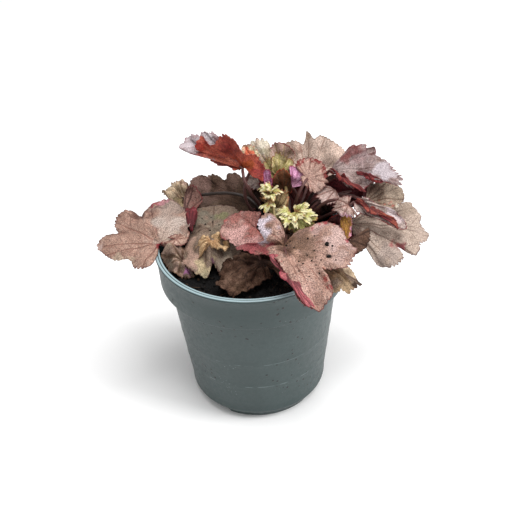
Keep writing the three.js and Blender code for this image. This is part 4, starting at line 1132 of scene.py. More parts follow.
               [-22.5, 9.5, -3], [-27, 11.5, -4.5], [-27, 10, -6.5], [-20.5, 3.5, -5], [-15, -2, -2.5],
               [-9.5, -6, -0.5], [-6, -13.5, 1.5], [-2, -22, -0.5], [2, -30, -3.5], [5, -38.5, -6],
               [9, -43, -9.5], [12.5, -45, -11.5], [16, -45.5, -12], [20, -42, -10.5], [23.5, -38, -9],
               [25, -31.5, -7.5], [23.5, -25.5, -6], [20.5, -19, -4.5], [25, -19, -4], [29.5, -20.5, -4],
               [34, -20, -3], [38, -14.5, -1.5], [41, -9, -0.5], [39.5, -2, 1], [36.5, 2, 1.5],
               [34.5, 8.5, 3], [30.5, 14.5, 3.5], [26, 18, 3.5], [20.5, 16.5, 4], [16, 13.5, 3.5],
               [10.5, 10, 3]],
         folds=[((3.17, 0.88), (7.83, 0.15), 2.6, 2.4), ((15.83, 0.28), (34.83, 0.47), 2.6, -1.5),
                ((27.33, 0.9), (24.75, 0.97), 1.8, 2.2), ((15.5, 0.23), (24.75, 0.35), 3, -0.8),
                ((32.83, 0.55), (32.67, 0.65), 2, 0.8)],
         # Painted light among these patches: the silver-lilac at across 5.8 and 7.8 is partly the leaf's
         # silvering and partly painted light on the lit half of the upturned lobe; the dark browns at
         # 37.8, 31.1 and 21.4, where the blade dips under the young shoots, and at 0.4 and 40.5 beside the
         # hub are painted shade.
         patches=[(5.8, 0.82, 8, (204, 192, 202), 0.9), (7.8, 1, 3.2, (190, 180, 190), 0.8),
                  (2.8, 0.5, 7, (150, 116, 106), 0.8), (7.5, 0.33, 4, (126, 90, 76), 0.7),
                  (33.1, 0.17, 6, (150, 118, 92), 0.75), (35.1, 0.42, 5, (154, 124, 106), 0.6),
                  (26.5, 0.4, 7, (194, 154, 138), 0.6), (36, 0.68, 6, (182, 152, 148), 0.6),
                  (33.6, 0.8, 9, (188, 160, 154), 0.7), (30.5, 0.85, 7, (186, 158, 150), 0.6),
                  (30.7, 0.57, 6, (172, 138, 124), 0.5), (32.6, 0.6, 2, (58, 40, 36), 0.95),
                  (30.6, 0.68, 2, (64, 46, 40), 0.9), (25.6, 0.9, 2.6, (140, 56, 50), 0.9),
                  (25.1, 0.97, 2.2, (120, 40, 40), 0.9), (26.8, 0.97, 3, (152, 94, 74), 0.7),
                  (21.8, 0.68, 8, (198, 160, 148), 0.5), (0.4, 1, 5, (120, 86, 72), 0.6),
                  (11.9, 0.68, 7, (150, 72, 76), 0.95), (11.4, 0.93, 6, (160, 92, 94), 0.95),
                  (13.5, 0.62, 6, (136, 63, 66), 0.95), (37.8, 0.2, 11, (104, 76, 60), 0.9),
                  (31.1, 0.28, 8, (118, 90, 74), 0.8), (21.4, 0.07, 4, (84, 56, 46), 0.8),
                  (40.5, 1, 7, (120, 92, 80), 0.75), (32.8, 0.4, 6, (140, 110, 96), 0.6),
                  *streak(2.3, (180, 84, 92), 0.9, (11.6, 0.3), (15.8, 0.85), (16.8, 0.9), (17.5, 0.95),
                          (18.4, 0.9), (19.4, 0.88), (20.4, 0.9), (21.2, 0.95)),
                  *streak(1.5, (150, 44, 56), 0.8, (37.2, 0.7), (37.4, 0.9), (36.8, 0.95), (35.8, 0.97),
                          (35.1, 1), (33.8, 1), (32.3, 0.97))],
         litter=[(32.6, 0.6, 1.3), (30.6, 0.68, 1.2), (32.4, 0.65, 0.6), (35, 0.42, 0.6),
                 (27.7, 0.65, 0.6), (24.1, 0.42, 0.5), (26.8, 0.85, 0.6), (29.6, 0.65, 0.5),
                 (24, 0.3, 0.5), (30, 0.38, 0.5), (31.4, 0.45, 0.45), (26.3, 0.88, 0.5),
                 (22.4, 0.45, 0.5), (23.2, 0.6, 0.45), (40.5, 0.4, 0.5), (31.6, 0.15, 0.5),
                 (30.3, 0.8, 0.5), (34.9, 0.57, 0.45), (36.9, 0.05, 0.5)]),
    dict(name="leaf_right_low", kind="taupe", hub=[40, -38.6, 120.7], cup=3, sway=[-5, 0, -6],
         root=[2, 273],
         tips=[[0, -18, -4], [6, -19, -6], [14, -19, -6], [18, -16, -6], [22, -15, -4], [21, -10, -4],
               [19, -5, -2], [16, 1, 0]], notches=[0.05, 0.08, 0.05, 0.06, 0.03, 0.03, 0.05],
         patches=[(2.7, 0.4, 8, (104, 78, 56), 0.85), (1.6, 0.85, 8, (162, 136, 104), 0.8),
                  (6.1, 0.9, 4.5, (208, 184, 154), 0.9), (4.1, 0.9, 3.5, (58, 40, 32), 0.9)]),
    dict(name="leaf_right", kind="taupe", hub=[61.5, 2.8, 121.4], cup=2, sway=[-5, -3, 0], root=[2, 349],
         veins=[4.4, 5.7, 11, 14.6, 15.4, 18.8, 21.1], teeth=1.2,
         paints=dict(top=(184, 164, 150), deep=(160, 140, 126), silver=(194, 178, 166)),
         tips=[[3, -8, -3], [7.5, -11.5, -5.5], [9.5, -16.5, -8.5], [11.5, -22.5, -11.5],
               [16, -27.5, -14], [21, -30, -14.5], [26, -28.5, -14], [30, -24, -11.5], [30, -20, -9.5],
               [27, -16.5, -8], [33.5, -19, -9], [38, -21, -10.5], [41.5, -17.5, -10], [42.5, -12, -9.5],
               [47, -9, -10], [49.5, -3, -9], [47, 2, -7], [45, 4.5, -6], [47, 12, -5], [43, 16.5, -2.5],
               [38, 17.5, -0.5], [31.5, 16, 0.5], [25, 16.5, 2], [17, 14, 3], [9.5, 7.5, 1.5],
               [3.5, 3, 0.5]],
         folds=[((14.92, 0.03), (14.58, 0.62), 1.8, -1.6), ((11.5, 0.33), (9, 0.9), 3, 1)],
         patches=[(14.7, 0.17, 8, (140, 120, 106), 0.6), (14.4, 0.93, 7, (176, 156, 144), 0.6),
                  (8, 0.82, 3.2, (152, 64, 64), 0.85), (11.2, 0.78, 2.6, (120, 50, 56), 0.9),
                  (5.9, 0.8, 9, (162, 146, 138), 0.6), (3.8, 0.23, 5, (110, 84, 74), 0.7),
                  (18.6, 0.82, 7, (160, 142, 126), 0.6), (11.9, 0.5, 6, (176, 156, 142), 0.5)]),
    dict(name="leaf_back_right", kind="silvered", hub=[51, 22.6, 147.9], sway=[6, 3, 9], root=[1, 39],
         veins=[1.8, 3, 8.3, 10.3, 13.4, 16.8], frill=1.3, teeth=1.6, tooth_pitch=3.4,
         tips=[[4, -5, -2], [9, -10, -4.5], [15, -12, -6], [19, -13.5, -7], [21.5, -11, -6.5],
               [26.5, -10, -5], [32, -11, -5], [37, -12.5, -5.5], [41.5, -13, -5], [42.5, -9.5, -2.5],
               [40, -5, -0.5], [37, 0.5, 2], [33, 3, 4], [29.5, 5.5, 6.5], [29, 9, 10], [24, 8, 9],
               [21.5, 10.5, 10.5], [18, 10, 10], [15.5, 11, 9.5]],
         folds=[((1.17, 0.12), (9.25, 0.95), 2.2, -1.4), ((1.17, 0.12), (13.58, 0.9), 2.2, -1.2),
                ((0.42, 0.97), (7.83, 0.53), 2.4, 1.4)],
         patches=[(17, 0.88, 6.5, (112, 54, 52), 0.9), (15.8, 0.47, 4, (124, 70, 66), 0.8),
                  (13.1, 0.57, 3, (120, 84, 80), 0.6), (15.6, 0.93, 3.4, (152, 112, 118), 0.6),
                  (13.8, 0.93, 3.4, (82, 42, 40), 0.8), (13.4, 0.65, 6, (164, 140, 140), 0.5),
                  (11.8, 0.93, 2.6, (110, 84, 76), 0.6), (10.2, 0.25, 7, (176, 156, 152), 0.6),
                  (10.1, 0.82, 8, (196, 186, 192), 0.7), *streak(2.2, (120, 52, 46), 0.8, (-0.5, 0.38),
                          (1.8, 0.35), (2.9, 0.5), (3.1, 0.72)), (4.9, 0.57, 4.5, (154, 132, 126), 0.6),
                  (8.7, 1, 3.4, (174, 154, 152), 0.5)]),
    dict(name="leaf_right_back_low", kind="taupe", hub=[72, 11.5, 130], sway=[3, -5, 15], root=[2, 30],
         frill=1.2, teeth=1.4, paints=dict(top=(156, 136, 118), deep=(126, 106, 90)),
         tips=[[7, -7, -2], [18, -7, -1], [24, -1, 1], [23, 7, 5], [16, 10, 8], [6, 8, 10]],
         notches=[0.05, 0.08, 0.05, 0.08, 0.08],
         patches=[(4.8, 0.62, 5, (92, 68, 56), 0.8), (1.2, 0.57, 2.6, (172, 72, 54), 0.9),
                  (1.2, 0.8, 2.2, (160, 60, 50), 0.8), (1.2, 1, 2.6, (202, 192, 174), 0.7),
                  (3, 0.82, 7, (168, 150, 132), 0.6)]),
    dict(name="leaf_back", kind="pale_tan", hub=[38.5, 39.9, 127.2], cup=1, sway=[-3, -6, -7],
         root=[1, 57], veins=[3.2, 5.4, 8.6, 11.6, 14.1], quilt=0.5, teeth=0.6, tooth_pitch=2.6,
         paints=dict(top=(206, 182, 168), deep=(184, 158, 144), silver=(222, 204, 192)),
         tips=[[-16.5, 9.5, 9], [-18.5, 13, 12], [-18, 17, 15.5], [-15, 20, 18], [-10.5, 21, 20.5],
               [-5.5, 18.5, 22], [-1.5, 17.5, 20], [0, 20, 22], [1.5, 23.5, 26], [4, 20, 25],
               [6, 17, 23.5], [10, 17, 26], [15, 14.5, 24.5], [19.5, 11.5, 22.5], [24, 7.5, 20],
               [25.5, 4.5, 15.5], [24, 1.5, 11]],
         folds=[((9.17, 0.1), (5.5, 0.93), 2.2, -1.6)],
         patches=[(3.3, 0.88, 8, (184, 154, 138), 0.6), (8.1, 0.9, 3, (152, 126, 106), 0.7),
                  (13.6, 0.85, 10, (212, 186, 170), 0.7), (5.2, 0.8, 2.6, (140, 102, 88), 0.6),
                  (12.4, 0.42, 8, (184, 154, 144), 0.6)]),
    dict(name="leaf_back_left_arching", kind="rust", hub=[-2.5, 22.6, 152.8], turned=True,
         sway=[-6, -14, 9], root=[1, 131], veins=[0.8, 3.7, 6.8, 9.1, 11.6], frill=1.2, teeth=1.5,
         paints=dict(under=(192, 96, 76), under_deep=(142, 56, 46)),
         tips=[[-6, 1, -1], [-14, 4, 0], [-19, 9, 3], [-28, 9, 10], [-25, 10, 17], [-18, 3, 16],
               [-14, 2, 20], [-9, 1, 24], [-4, -3, 21], [0, -6, 14], [7, -3, 10], [12, -6, 2],
               [11, -12, -3]],
         wing=[[-39, 16, 9], [-36, 21, 12], [-31, 20, 14], [-23, 18, 17], [-18, 15, 18], [-13, 10, 17]],
         notches=[0.05, 0.05, 0.1, 0, 0.02, 0.02, 0.02, 0.05, 0.03, 0.03, 0.08, 0.05],
         wing_notches=[0.05, 0.1, 0.1, 0.1, 0.08],
         folds=[((12.5, 0.07), (3.25, 0.8), 2.4, 1.2)],
         patches=[(6.4, 0.57, 6, (112, 36, 32), 0.6, -1), (1.9, 0.62, 6, (152, 78, 74), 0.8, -1),
                  (11.1, 0.85, 5, (118, 30, 36), 0.8, -1), (12.2, 0.6, 5, (134, 46, 36), 0.7, -1),
                  (10, 0.28, 4.5, (178, 86, 42), 0.8, -1), (6.7, 0.8, 4.5, (120, 28, 26), 0.7, -1),
                  (3.5, 0.88, 4, (146, 36, 26), 0.8, -1), (6.7, 0.25, 5, (150, 56, 34), 0.6, -1)],
         wing_patches=[(0.4, 0.62, 5, (150, 64, 54), 0.95), (0.3, 0.5, 5, (186, 98, 80), 0.95),
                       (-0.2, 0.35, 6, (192, 104, 82), 0.95), (-0.5, 0.2, 6, (192, 104, 82), 0.95),
                       (-0.5, 0.03, 5, (186, 94, 74), 0.95), (5.5, 0.9, 3.4, (104, 36, 48), 0.85),
                       (5.5, 0.75, 3.2, (112, 40, 50), 0.85), (5.5, 0.47, 3, (104, 36, 46), 0.8),
                       (4.4, 0.85, 3.4, (160, 110, 120), 0.85), (0.4, 0.9, 7, (218, 204, 208), 0.85),
                       (2.4, 0.8, 7, (210, 200, 204), 0.8), (3.8, 0.82, 2.6, (82, 42, 38), 0.8),
                       (2.2, 0.6, 4, (196, 182, 186), 0.6), (2, 0.9, 2.6, (150, 120, 122), 0.5)]),
    dict(name="leaf_back_middle", kind="cream", hub=[15.5, 29.7, 145.3], sway=[2, -7, -16], root=[1, 111],
         frill=1.2, teeth=1.5,
         paints=dict(top=(196, 172, 156), deep=(162, 132, 120), silver=(214, 196, 184),
                     edge=(96, 40, 42)),
         tips=[[-10, 0, 1], [-15, 3.5, 3], [-17, 8.5, 5.5], [-15.5, 12.5, 10], [-10.5, 13, 14],
               [-6, 11.5, 16.5], [-1.5, 9.5, 15.5], [0.5, 7, 12], [3, 5.5, 7.5]],
         patches=[(4.8, 0.8, 6, (208, 200, 182), 0.8), (7.4, 1, 5, (192, 172, 154), 0.6),
                  (7.7, 1, 4, (178, 142, 142), 0.6), (4.9, 0.57, 4, (152, 142, 112), 0.6),
                  (3.8, 0.7, 1.6, (60, 40, 36), 0.8)]),
    dict(name="leaf_lilac", kind="lilac", hub=[27.5, 21.5, 137.5], small=True, sway=[7, -2, -1],
         root=[1, 85], wavy=1.6, frill=1.1, teeth=1.3,
         paints=dict(top=(216, 160, 192), deep=(188, 120, 158), silver=(232, 190, 214)),
         tips=[[8, 2, 2], [9, 5, 6], [5, 7, 10], [0, 8, 11]], notches=0.05,
         patches=[(1.2, 0.3, 4, (224, 164, 194), 0.8), (1.3, 0.72, 3, (204, 124, 154), 0.7),
                  (0.2, 0.9, 2, (120, 40, 80), 0.8)]),
    dict(name="leaf_middle_red_edged", kind="pink_brown", hub=[37, 19.6, 144.8], small=True,
         sway=[-1, -6, 9], root=[0, 16], frill=1.3, teeth=1.5,
         paints=dict(top=(196, 160, 146), deep=(160, 120, 106), silver=(212, 190, 178)),
         tips=[[-1, -4, -4.5], [-2.5, 2, 2], [-6, 5, 4.5], [-6, 7.5, 7.5], [-2, 8.5, 9.5], [3, 8.5, 10],
               [7, 7.5, 8], [11, 5.5, 4.5], [12, 2, 1], [11.5, -1.5, -3], [8, -4.5, -6.5],
               [2.5, -5.5, -7]],
         patches=[*streak(2.8, (126, 44, 42), 0.9, (2.9, 0.97), (4, 0.95), (5, 0.95), (6.1, 0.97),
                          (7, 0.95), (8.2, 0.95)), (5.8, 0.28, 6, (168, 136, 124), 0.7),
                  (10.2, 0.68, 4, (178, 148, 138), 0.6)]),
    dict(name="leaf_right_maroon", kind="maroon", hub=[65, 23.9, 131.2], turned=True, small=True,
         sway=[-6, -5, 5], root=[2, 42], wavy=1.5, teeth=0.9,
         paints=dict(top=(62, 26, 24), deep=(40, 15, 14), silver=(84, 44, 40)),
         tips=[[7.5, 0, 0], [2.5, -5, -7.5], [-3, -6.5, -9], [-10, -6.5, -8.5], [-15, -4, -7],
               [-19, 0.5, -4], [-16, 5, 1], [-11, 6.5, 4.5], [-4, 5.5, 5.5], [3.5, 4.5, 4.5],
               [9.5, 3, 3.5], [14.5, 0, 0], [14.5, 1.5, -8]]),
    dict(name="leaf_right_small_upper", kind="pink_brown", hub=[54, 17.1, 136.8], small=True,
         sway=[-5, -5, 3], root=[1, 9], teeth=1.3,
         paints=dict(top=(186, 158, 150), deep=(148, 120, 112), silver=(208, 190, 184)),
         tips=[[1, -6, -6], [-8, -8, -5], [-12, -3, -2], [-9, 2, 1]], notches=0.1,
         patches=[(1.2, 0.97, 3, (190, 166, 160), 0.7)]),
    dict(name="leaf_right_small_lower", kind="pink_brown", hub=[60, -0.6, 136.7], small=True,
         sway=[3, -1, 14], root=[1, 340], teeth=1.3,
         paints=dict(top=(190, 160, 150), deep=(152, 122, 112), silver=(212, 194, 186)),
         tips=[[3, -5, -5], [-4, -5, -4], [-9, -2, -1], [-7, 2, 3], [0, 3, 4]], notches=0.1,
         patches=[(0.7, 1, 2.4, (224, 172, 194), 0.9), (1.4, 1, 3, (190, 164, 158), 0.6)]),
    dict(name="leaf_right_orange_edged", kind="silvered", hub=[64, 5.3, 135], small=True,
         sway=[-1, -8, 3], root=[2, 14], roll=[(0, 70), (1, 60), (2, 40), (4, 0)], frill=1.2, teeth=1.2,
         paints=dict(top=(184, 164, 156), deep=(150, 124, 112), silver=(206, 192, 190)),
         tips=[[8, -10, -4], [28, -19, -10], [29, -14, -6], [22, -9, -1], [11, -4, 2]],
         notches=[0.01, 0.02, 0.05, 0.05],
         patches=[*streak(2, (120, 50, 42), 0.7, (2.7, 0.1), (0.8, 0.23), (0.6, 0.47), (1.1, 0.47),
                          (1.2, 0.6), (1.2, 0.72), (0.8, 0.97)), (2.6, 0.88, 4, (210, 194, 196), 0.8),
                  (1.8, 0.88, 2.6, (204, 184, 186), 0.7), (4.5, 0.53, 3, (172, 62, 62), 0.8)]),
    dict(name="leaf_ochre", kind="ochre", hub=[57.5, -11.2, 117.9], small=True, sway=[-3, -1, -5],
         root=[2, 326],
         tips=[[4, 5, 4], [4, 10, 10], [-2, 10, 11], [-3, 5, 5]], notches=[0, 0.02, 0.02],
         patches=[*streak(1.4, (222, 152, 182), 0.85, (1, 0.85), (0.3, 0.88), (-0.3, 0.82))]),
    dict(name="leaf_dead_on_soil", kind="dead", hub=[5.5, -22.5, 114.5], crumple=1, sway=[-6, 0, 5],
         root=[2, 229], wavy=1.8,
         tips=[[2, -15, -5], [-10, -22, -5], [-19, -26, -4], [-28, -16, -4], [-25, -4, -1], [-14, 3, 3],
               [1, 5, 5], [14, 1, 3], [13, -10, -3]], notches=[0.1, 0.15, 0.1, 0.12, 0.15, 0.1, 0.1, 0.1],
         patches=[(5.6, 0.5, 9, (50, 33, 28), 0.8), (4.9, 0.88, 6, (66, 46, 38), 0.6),
                  (2.8, 0.78, 6, (132, 104, 88), 0.6), (1.9, 0.78, 5, (126, 98, 80), 0.6),
                  (2.6, 0.3, 5, (104, 78, 64), 0.6)]),
    dict(name="leaf_left_low", kind="dried", hub=[-42, -10.7, 108.9], small=True, cup=1, crumple=1.2,
         sway=[0, 2, -2], root=[2, 212], wavy=2.2, frill=1.5,
         paints=dict(top=(172, 144, 130), deep=(130, 102, 90)),
         tips=[[4, -12, -2], [-5, -10, -2], [-11, -2, -1], [-14, 3, 2], [-10, 8, 4], [-1, 7, 4]],
         notches=[0.12, 0.12, 0.12, 0.12, 0.1],
         patches=[(2.6, 0.35, 2.6, (210, 182, 164), 0.9), (3.2, 0.82, 3.4, (146, 118, 104), 0.6),
                  (0.2, 0.7, 2.6, (188, 122, 172), 0.9), (4.3, 0.82, 4.5, (98, 68, 58), 0.8),
                  (2.4, 0.72, 2.6, (164, 150, 134), 0.7)]),
    dict(name="leaf_middle_orange", kind="cream", hub=[5.5, 24.4, 155.2], small=True, sway=[-13, -4, 1],
         root=[1, 151], frill=1.2, teeth=1.3,
         tips=[[-5, 3, 0], [-9, 7, 3], [-7, 10, 7], [-1, 8, 7], [2, 5, 4]], notches=0.1,
         patches=[(1.9, 0.57, 4, (200, 84, 54), 0.9), (0.2, 0.6, 2.6, (216, 198, 184), 0.7),
                  (1.6, 0.88, 2, (230, 190, 160), 0.7)]),
    dict(name="leaf_middle_curled", kind="silvered", hub=[9, 33.9, 138.2], small=True, sway=[-4, -4, -2],
         root=[0, 148], frill=1, teeth=1.3, paints=dict(top=(176, 158, 150), deep=(146, 120, 112)),
         tips=[[-2, -4, -6], [-8, -3, -5], [-11, 3, -1], [-7, 5, 2], [-1, 4, 3]], notches=0.1,
         patches=[(2.9, 0.97, 3, (196, 156, 136), 0.6), (1.3, 0.4, 3, (206, 186, 176), 0.6),
                  (-0.2, 0.68, 2.4, (152, 112, 112), 0.6)]),
    dict(name="leaf_middle_rust", kind="maroon", hub=[22, 38.1, 122.9], small=True, sway=[2, 2, 5],
         root=[0, 58], frill=1, paints=dict(top=(122, 76, 44), deep=(86, 46, 28), silver=(150, 104, 60)),
         tips=[[-4, 2, 1], [-5, 7, 6], [0, 8, 9], [5, 6, 7], [6, 1, 2]], notches=0.1),
    dict(name="leaf_right_dead", kind="dead", hub=[57, -23.5, 126.4], small=True, sway=[-6, -5, 0],
         root=[2, 314],
         tips=[[14, 7, 1], [12, -1, -2], [6, -5, -5]]),
    # The two dark leaves below are partly their own maroon and partly painted shade: their near-black
    # paint stands for the shade at the right and back of the plant's heart.
    dict(name="leaf_right_dark", kind="maroon", hub=[54, 8.1, 115.3], small=True, sway=[3, -3, -1],
         root=[2, 0],
         tips=[[-5, 1, 3], [1, 4, 6], [11, 3, 5], [13, -10, 3], [6, -17, 1]]),
    dict(name="leaf_back_dark", kind="maroon", hub=[35, 29.1, 112.3], sway=[0, 0, 1], root=[2, 63],
         tips=[[-22, 6, 4], [-26, 17, 9], [-14, 25, 11], [2, 26, 11], [14, 20, 9], [20, 8, 5],
               [13, -4, 2]]),
]
print(len(LEAVES), "leaves stated")

# %% [markdown]
# ## Frills, folds, painted shade sheets and fallen soil
# Margins that turn over and lobes that crowd in front of one another are small blades of their own.
# Each belongs to the leaf or shoot it grows on, but has the skin of its own kind, because a folded
# margin shows the red under face. The blades of the shade kind are painted shade: dark upright
# sheets that stand behind the stalks and in front of the back of the rim, where the plant's heart
# lies in shadow, and they ride on the leaf they are listed with. Two leaves also carry crumbs of
# soil that fell when it was potted.

# %% State the frills and folds
YOUNG = dict(wavy=1.2, frill=1.6, teeth=1.9, tooth_pitch=2.5)
CREAM_TIPPED = dict(top=(190, 174, 124), deep=(146, 118, 78), silver=(234, 224, 184), silvering=0.6,
                    edge=(136, 74, 58))


def upright(*places):
    """The tips of a blade that stands upright and faces the front, by the mm across and the mm up."""
    return [[across, 0, up] for across, up in places]


FRILLS_AND_SHADE_SHEETS = [
    dict(on="leaf_left_folded", kind="crimson", hub=[-36.5, 3.5, 121], cup=2.5, teeth=0.4,
         tips=[[2.5, 8, 2], [3.5, 15, 4], [1.5, 20.5, 5.5], [-1.5, 20, 5.5], [-5, 20.5, 4.5],
               [-4, 13, 2]],
         patches=[(3.6, 0.8, 3, (96, 40, 44), 0.8), (3.1, 0.33, 3, (84, 34, 38), 0.8),
                  (1.9, 0.85, 2.4, (150, 70, 76), 0.7)]),
    # Painted shade: a dark upright sheet behind the stalks at the back of the plant's heart.
    dict(on="leaf_back_dark", kind="shade", hub=[35, 46, 100.5], wavy=1.6, frill=1.2, teeth=0.9,
         tips=upright((-21.5, 5), (-23, 16), (-16.5, 25), (-7.5, 27.5), (1, 24.5), (9.5, 27.5),
                      (17.5, 30), (26.5, 25), (32, 17), (29.5, 7), (25.5, 0))),
    # Painted shade: a dark upright sheet behind the middle of the plant.
    dict(on="leaf_middle_curled", kind="shade", hub=[12, 41, 107.5], wavy=1.6, frill=1.2, teeth=0.9,
         paints=dict(top=(88, 62, 46), deep=(54, 36, 28), silver=(112, 86, 64)),
         tips=upright((-11.5, 5.5), (-13, 15), (-10, 22), (-4, 26.5), (3.5, 26), (10, 21), (13, 11.5),
                      (9.5, 3))),
    dict(on="shoot_back", kind="lime", hub=[18, 28, 142.5], **YOUNG, paints=CREAM_TIPPED,
         tips=upright((-5, 0), (-8, 4.5), (-6.5, 10), (-3, 12.5), (0.5, 8))),
    dict(on="shoot_back", kind="lime", hub=[19, 27, 142.5], **YOUNG, paints=CREAM_TIPPED,
         tips=upright((-4, 7.5), (-2.5, 14), (1.5, 15.5), (6, 12.5), (4.5, 6))),
    dict(on="shoot_back", kind="lime", hub=[20.5, 28, 141], **YOUNG, paints=CREAM_TIPPED,
         tips=upright((3, 8.5), (7, 12), (8.5, 7.5), (6, 2), (3, -1.5))),
    dict(on="leaf_back_middle", kind="cream", hub=[22, 36, 144], wavy=1.5, frill=1.5, teeth=0.9,
         paints=dict(top=(196, 164, 150), deep=(160, 122, 114), silver=(214, 192, 180),
                     edge=(126, 34, 44)),
         tips=upright((-6.5, 5), (-7.5, 12), (-4, 17), (2, 17), (6.5, 14), (8.5, 8), (6, 2.5))),
    dict(on="shoot_middle", kind="straw", hub=[16.5, 9, 132], **YOUNG,
         tips=upright((-6, 1.5), (-9, 7.5), (-7, 13), (-1.5, 15), (4.5, 12), (7.5, 6), (6, 0.5))),
    dict(on="leaf_middle_rust", kind="straw", hub=[22.5, 25, 131], wavy=1.4, frill=1.2, teeth=0.8,
         paints=dict(top=(112, 68, 42), deep=(76, 42, 28), silver=(150, 96, 58), edge=(150, 60, 40)),
         tips=upright((-5, 3.5), (-7.5, 11), (-4.5, 16.5), (0.5, 19), (4.5, 15), (6.5, 8.5), (4.5, 2))),
    dict(on="shoot_front", kind="lime", hub=[22, 7, 128], **YOUNG,
         tips=[[3, -5, -3.5], [-1.5, -6, -4], [-6, -2.5, -2.5], [-9.5, 5.5, -1], [-6, 8.5, 1.5]],
         notches=0.35),
    dict(on="shoot_front", kind="lime", hub=[28.5, 4, 128], **YOUNG,
         tips=[[13, -2.5, -1.5], [10, -5.5, -4.5], [4, -7, -6], [-0.5, -9.5, -7.5], [-5, -5.5, -5.5]],
         notches=0.35),
    dict(on="leaf_back_right", kind="crimson", hub=[56.5, 15.5, 147.5], cup=0.4, quilt=0, teeth=0.6,
         paints=dict(top=(142, 56, 46), deep=(104, 34, 32), silver=(170, 90, 76), edge=(96, 26, 30)),
         tips=[[-5.5, 6, 1.5], [-5.5, 5.5, 2], [-3, 1, 2], [1.5, -3, -1.5], [7, -5.5, -3.5],
               [14.5, -7.5, -5.5], [16, -7, -6], [9.5, -4, -3.5], [4, -1.5, -0.5]]),
    dict(on="leaf_back_right", kind="crimson", hub=[73.5, 14, 149], cup=0.4, quilt=0, teeth=0.5,
         paints=dict(top=(140, 54, 52), deep=(104, 34, 36), silver=(170, 96, 92)),
         tips=[[-5, 4, 1], [-6.5, 2.5, 1], [-2.5, 0, -0.5], [1.5, -2.5, -3], [8.5, -3.5, -5],
               [7.5, -3, -3.5], [3, -0.5, -1]]),
    dict(on="leaf_right_orange_edged", kind="crimson", hub=[72.5, -2.5, 135], cup=0.3, quilt=0, teeth=0.9,
         paints=dict(top=(160, 80, 62), deep=(122, 50, 42), silver=(190, 116, 92), edge=(100, 30, 30)),
         tips=[[-5.5, 4.5, 4.5], [-7.5, 5, 3.5], [-4, 1.5, 1], [0, -3.5, -1], [5.5, -5, -2],
               [12, -8, -4.5], [16, -12.5, -8], [15, -8.5, -5.5], [10, -4, -2], [4, -0.5, 0]]),
    dict(on="leaf_front_left", kind="straw", hub=[-24.5, -12.5, 124.5], cup=1.5, crumple=1.2, wavy=1.6,
         frill=1.2, teeth=0.6,
         paints=dict(top=(226, 192, 148), deep=(184, 146, 106), silver=(244, 220, 180),
                     vein=(160, 118, 80), edge=(160, 124, 92)),
         tips=[[-3, 6, 0.5], [-7, 3, -1], [-9, -1, -3], [-7.5, -6, -6], [-4, -3.5, -4], [-1, -2, -3],
               [3, -4, -4.5], [7.5, -5.5, -5.5], [11, -1, -5], [10.5, 3.5, -2], [3, 7, 0.5]]),
    # Painted shade: a small dark upright sheet that fills a gap at the back right.
    dict(on="leaf_back_dark", kind="shade", hub=[47.5, 38, 103], wavy=1.4, frill=1, teeth=0.9,
         tips=upright((-10.5, 3), (-9, 10.5), (-2.5, 13.5), (6, 13), (12, 7.5), (12, -0.5))),
    dict(on="leaf_middle_rust", kind="crimson", hub=[13, 30, 130], wavy=1.5, frill=1.5, teeth=1.2,
         paints=dict(top=(120, 52, 52), deep=(80, 30, 32), silver=(176, 120, 140)),
         tips=upright((-5, 3), (-6, 9), (-4, 15), (0, 17.5), (3.5, 14.5), (6, 7.5), (4.5, 1)),
         patches=[(2.7, 0.65, 3, (206, 150, 190), 0.85), (4.3, 0.45, 3, (150, 80, 50), 0.8),
                  (1.7, 0.57, 2.4, (80, 30, 34), 0.8)]),
    dict(on="leaf_front_right", kind="crimson", hub=[18.5, -61.5, 135], cup=0.3, wavy=0.4, quilt=0,
         teeth=0.5,
         paints=dict(top=(178, 98, 102), deep=(150, 70, 78), silver=(206, 142, 140), silvering=0.5,
                     edge=(134, 44, 60)),
         tips=[[-6.5, 15, 2], [-9, 13.5, 2], [-3, 3.5, 1], [1, -5.5, -1.5], [4, -13, -3.5],
               [8.5, -18, -7], [12.5, -20.5, -10.5], [12, -15, -8], [7.5, -7.5, -5], [3.5, -1, -1.5]]),
    dict(on="leaf_far_left", kind="pink_brown", hub=[-46, -5, 122.5], cup=0.3, wavy=0.6, quilt=0,
         teeth=0.6, paints=dict(top=(182, 150, 134), deep=(150, 116, 100)),
         tips=[[-8.5, -0.5, -2], [-6.5, -1.5, -1.5], [-2.5, -3.5, -2], [3, -3, -3], [7.5, 2.5, -1.5],
               [8, 7, 0], [5, 6, 1.5], [1, 3, 1.5], [-4, 1, 1]]),
    dict(on="leaf_middle_rust", kind="lilac", hub=[12.5, 10, 145.5], wavy=1.2, frill=0.9, teeth=0.8,
         tips=upright((-2, 1.5), (-3, 6.5), (-2, 11), (1, 11.5), (2, 7), (2, 1.5))),
    # Painted shade: a small dark upright sheet in front of the back rim, where the rim lies in shadow.
    dict(on="leaf_back_dark", kind="shade", hub=[51, 24, 113.5], wavy=1, frill=0.8, teeth=0.8,
         tips=upright((-6, 2), (-5.5, 7.5), (-2, 10), (2.5, 9), (5.5, 4.5), (4.5, 0.5))),
]
print(len(FRILLS_AND_SHADE_SHEETS), "frills and folds stated")

# %% Build the leaves
def full_skin(name, leaf, seed):
    """The skin of a leaf's kind, with the paints that the leaf states itself."""
    return leaf_skin(name, seed=seed, **{**KINDS[leaf["kind"]], **leaf.get("paints", {})})


def add_frills_and_shade_sheets(name, shells, finishes):
    """Adds the frills, folds and painted shade sheets listed on a piece, each with a skin of its own kind.
    """
    for order, frill in enumerate(FRILLS_AND_SHADE_SHEETS):
        if frill["on"] == name:
            frill = {"tooth_pitch": SMALL_TOOTH_PITCH, **frill}
            shells.append(blade_shell(frill, rings=16, finish=len(finishes)))
            finishes.append(full_skin(f"{name}_frill_{order}_skin", frill, 20 + order))


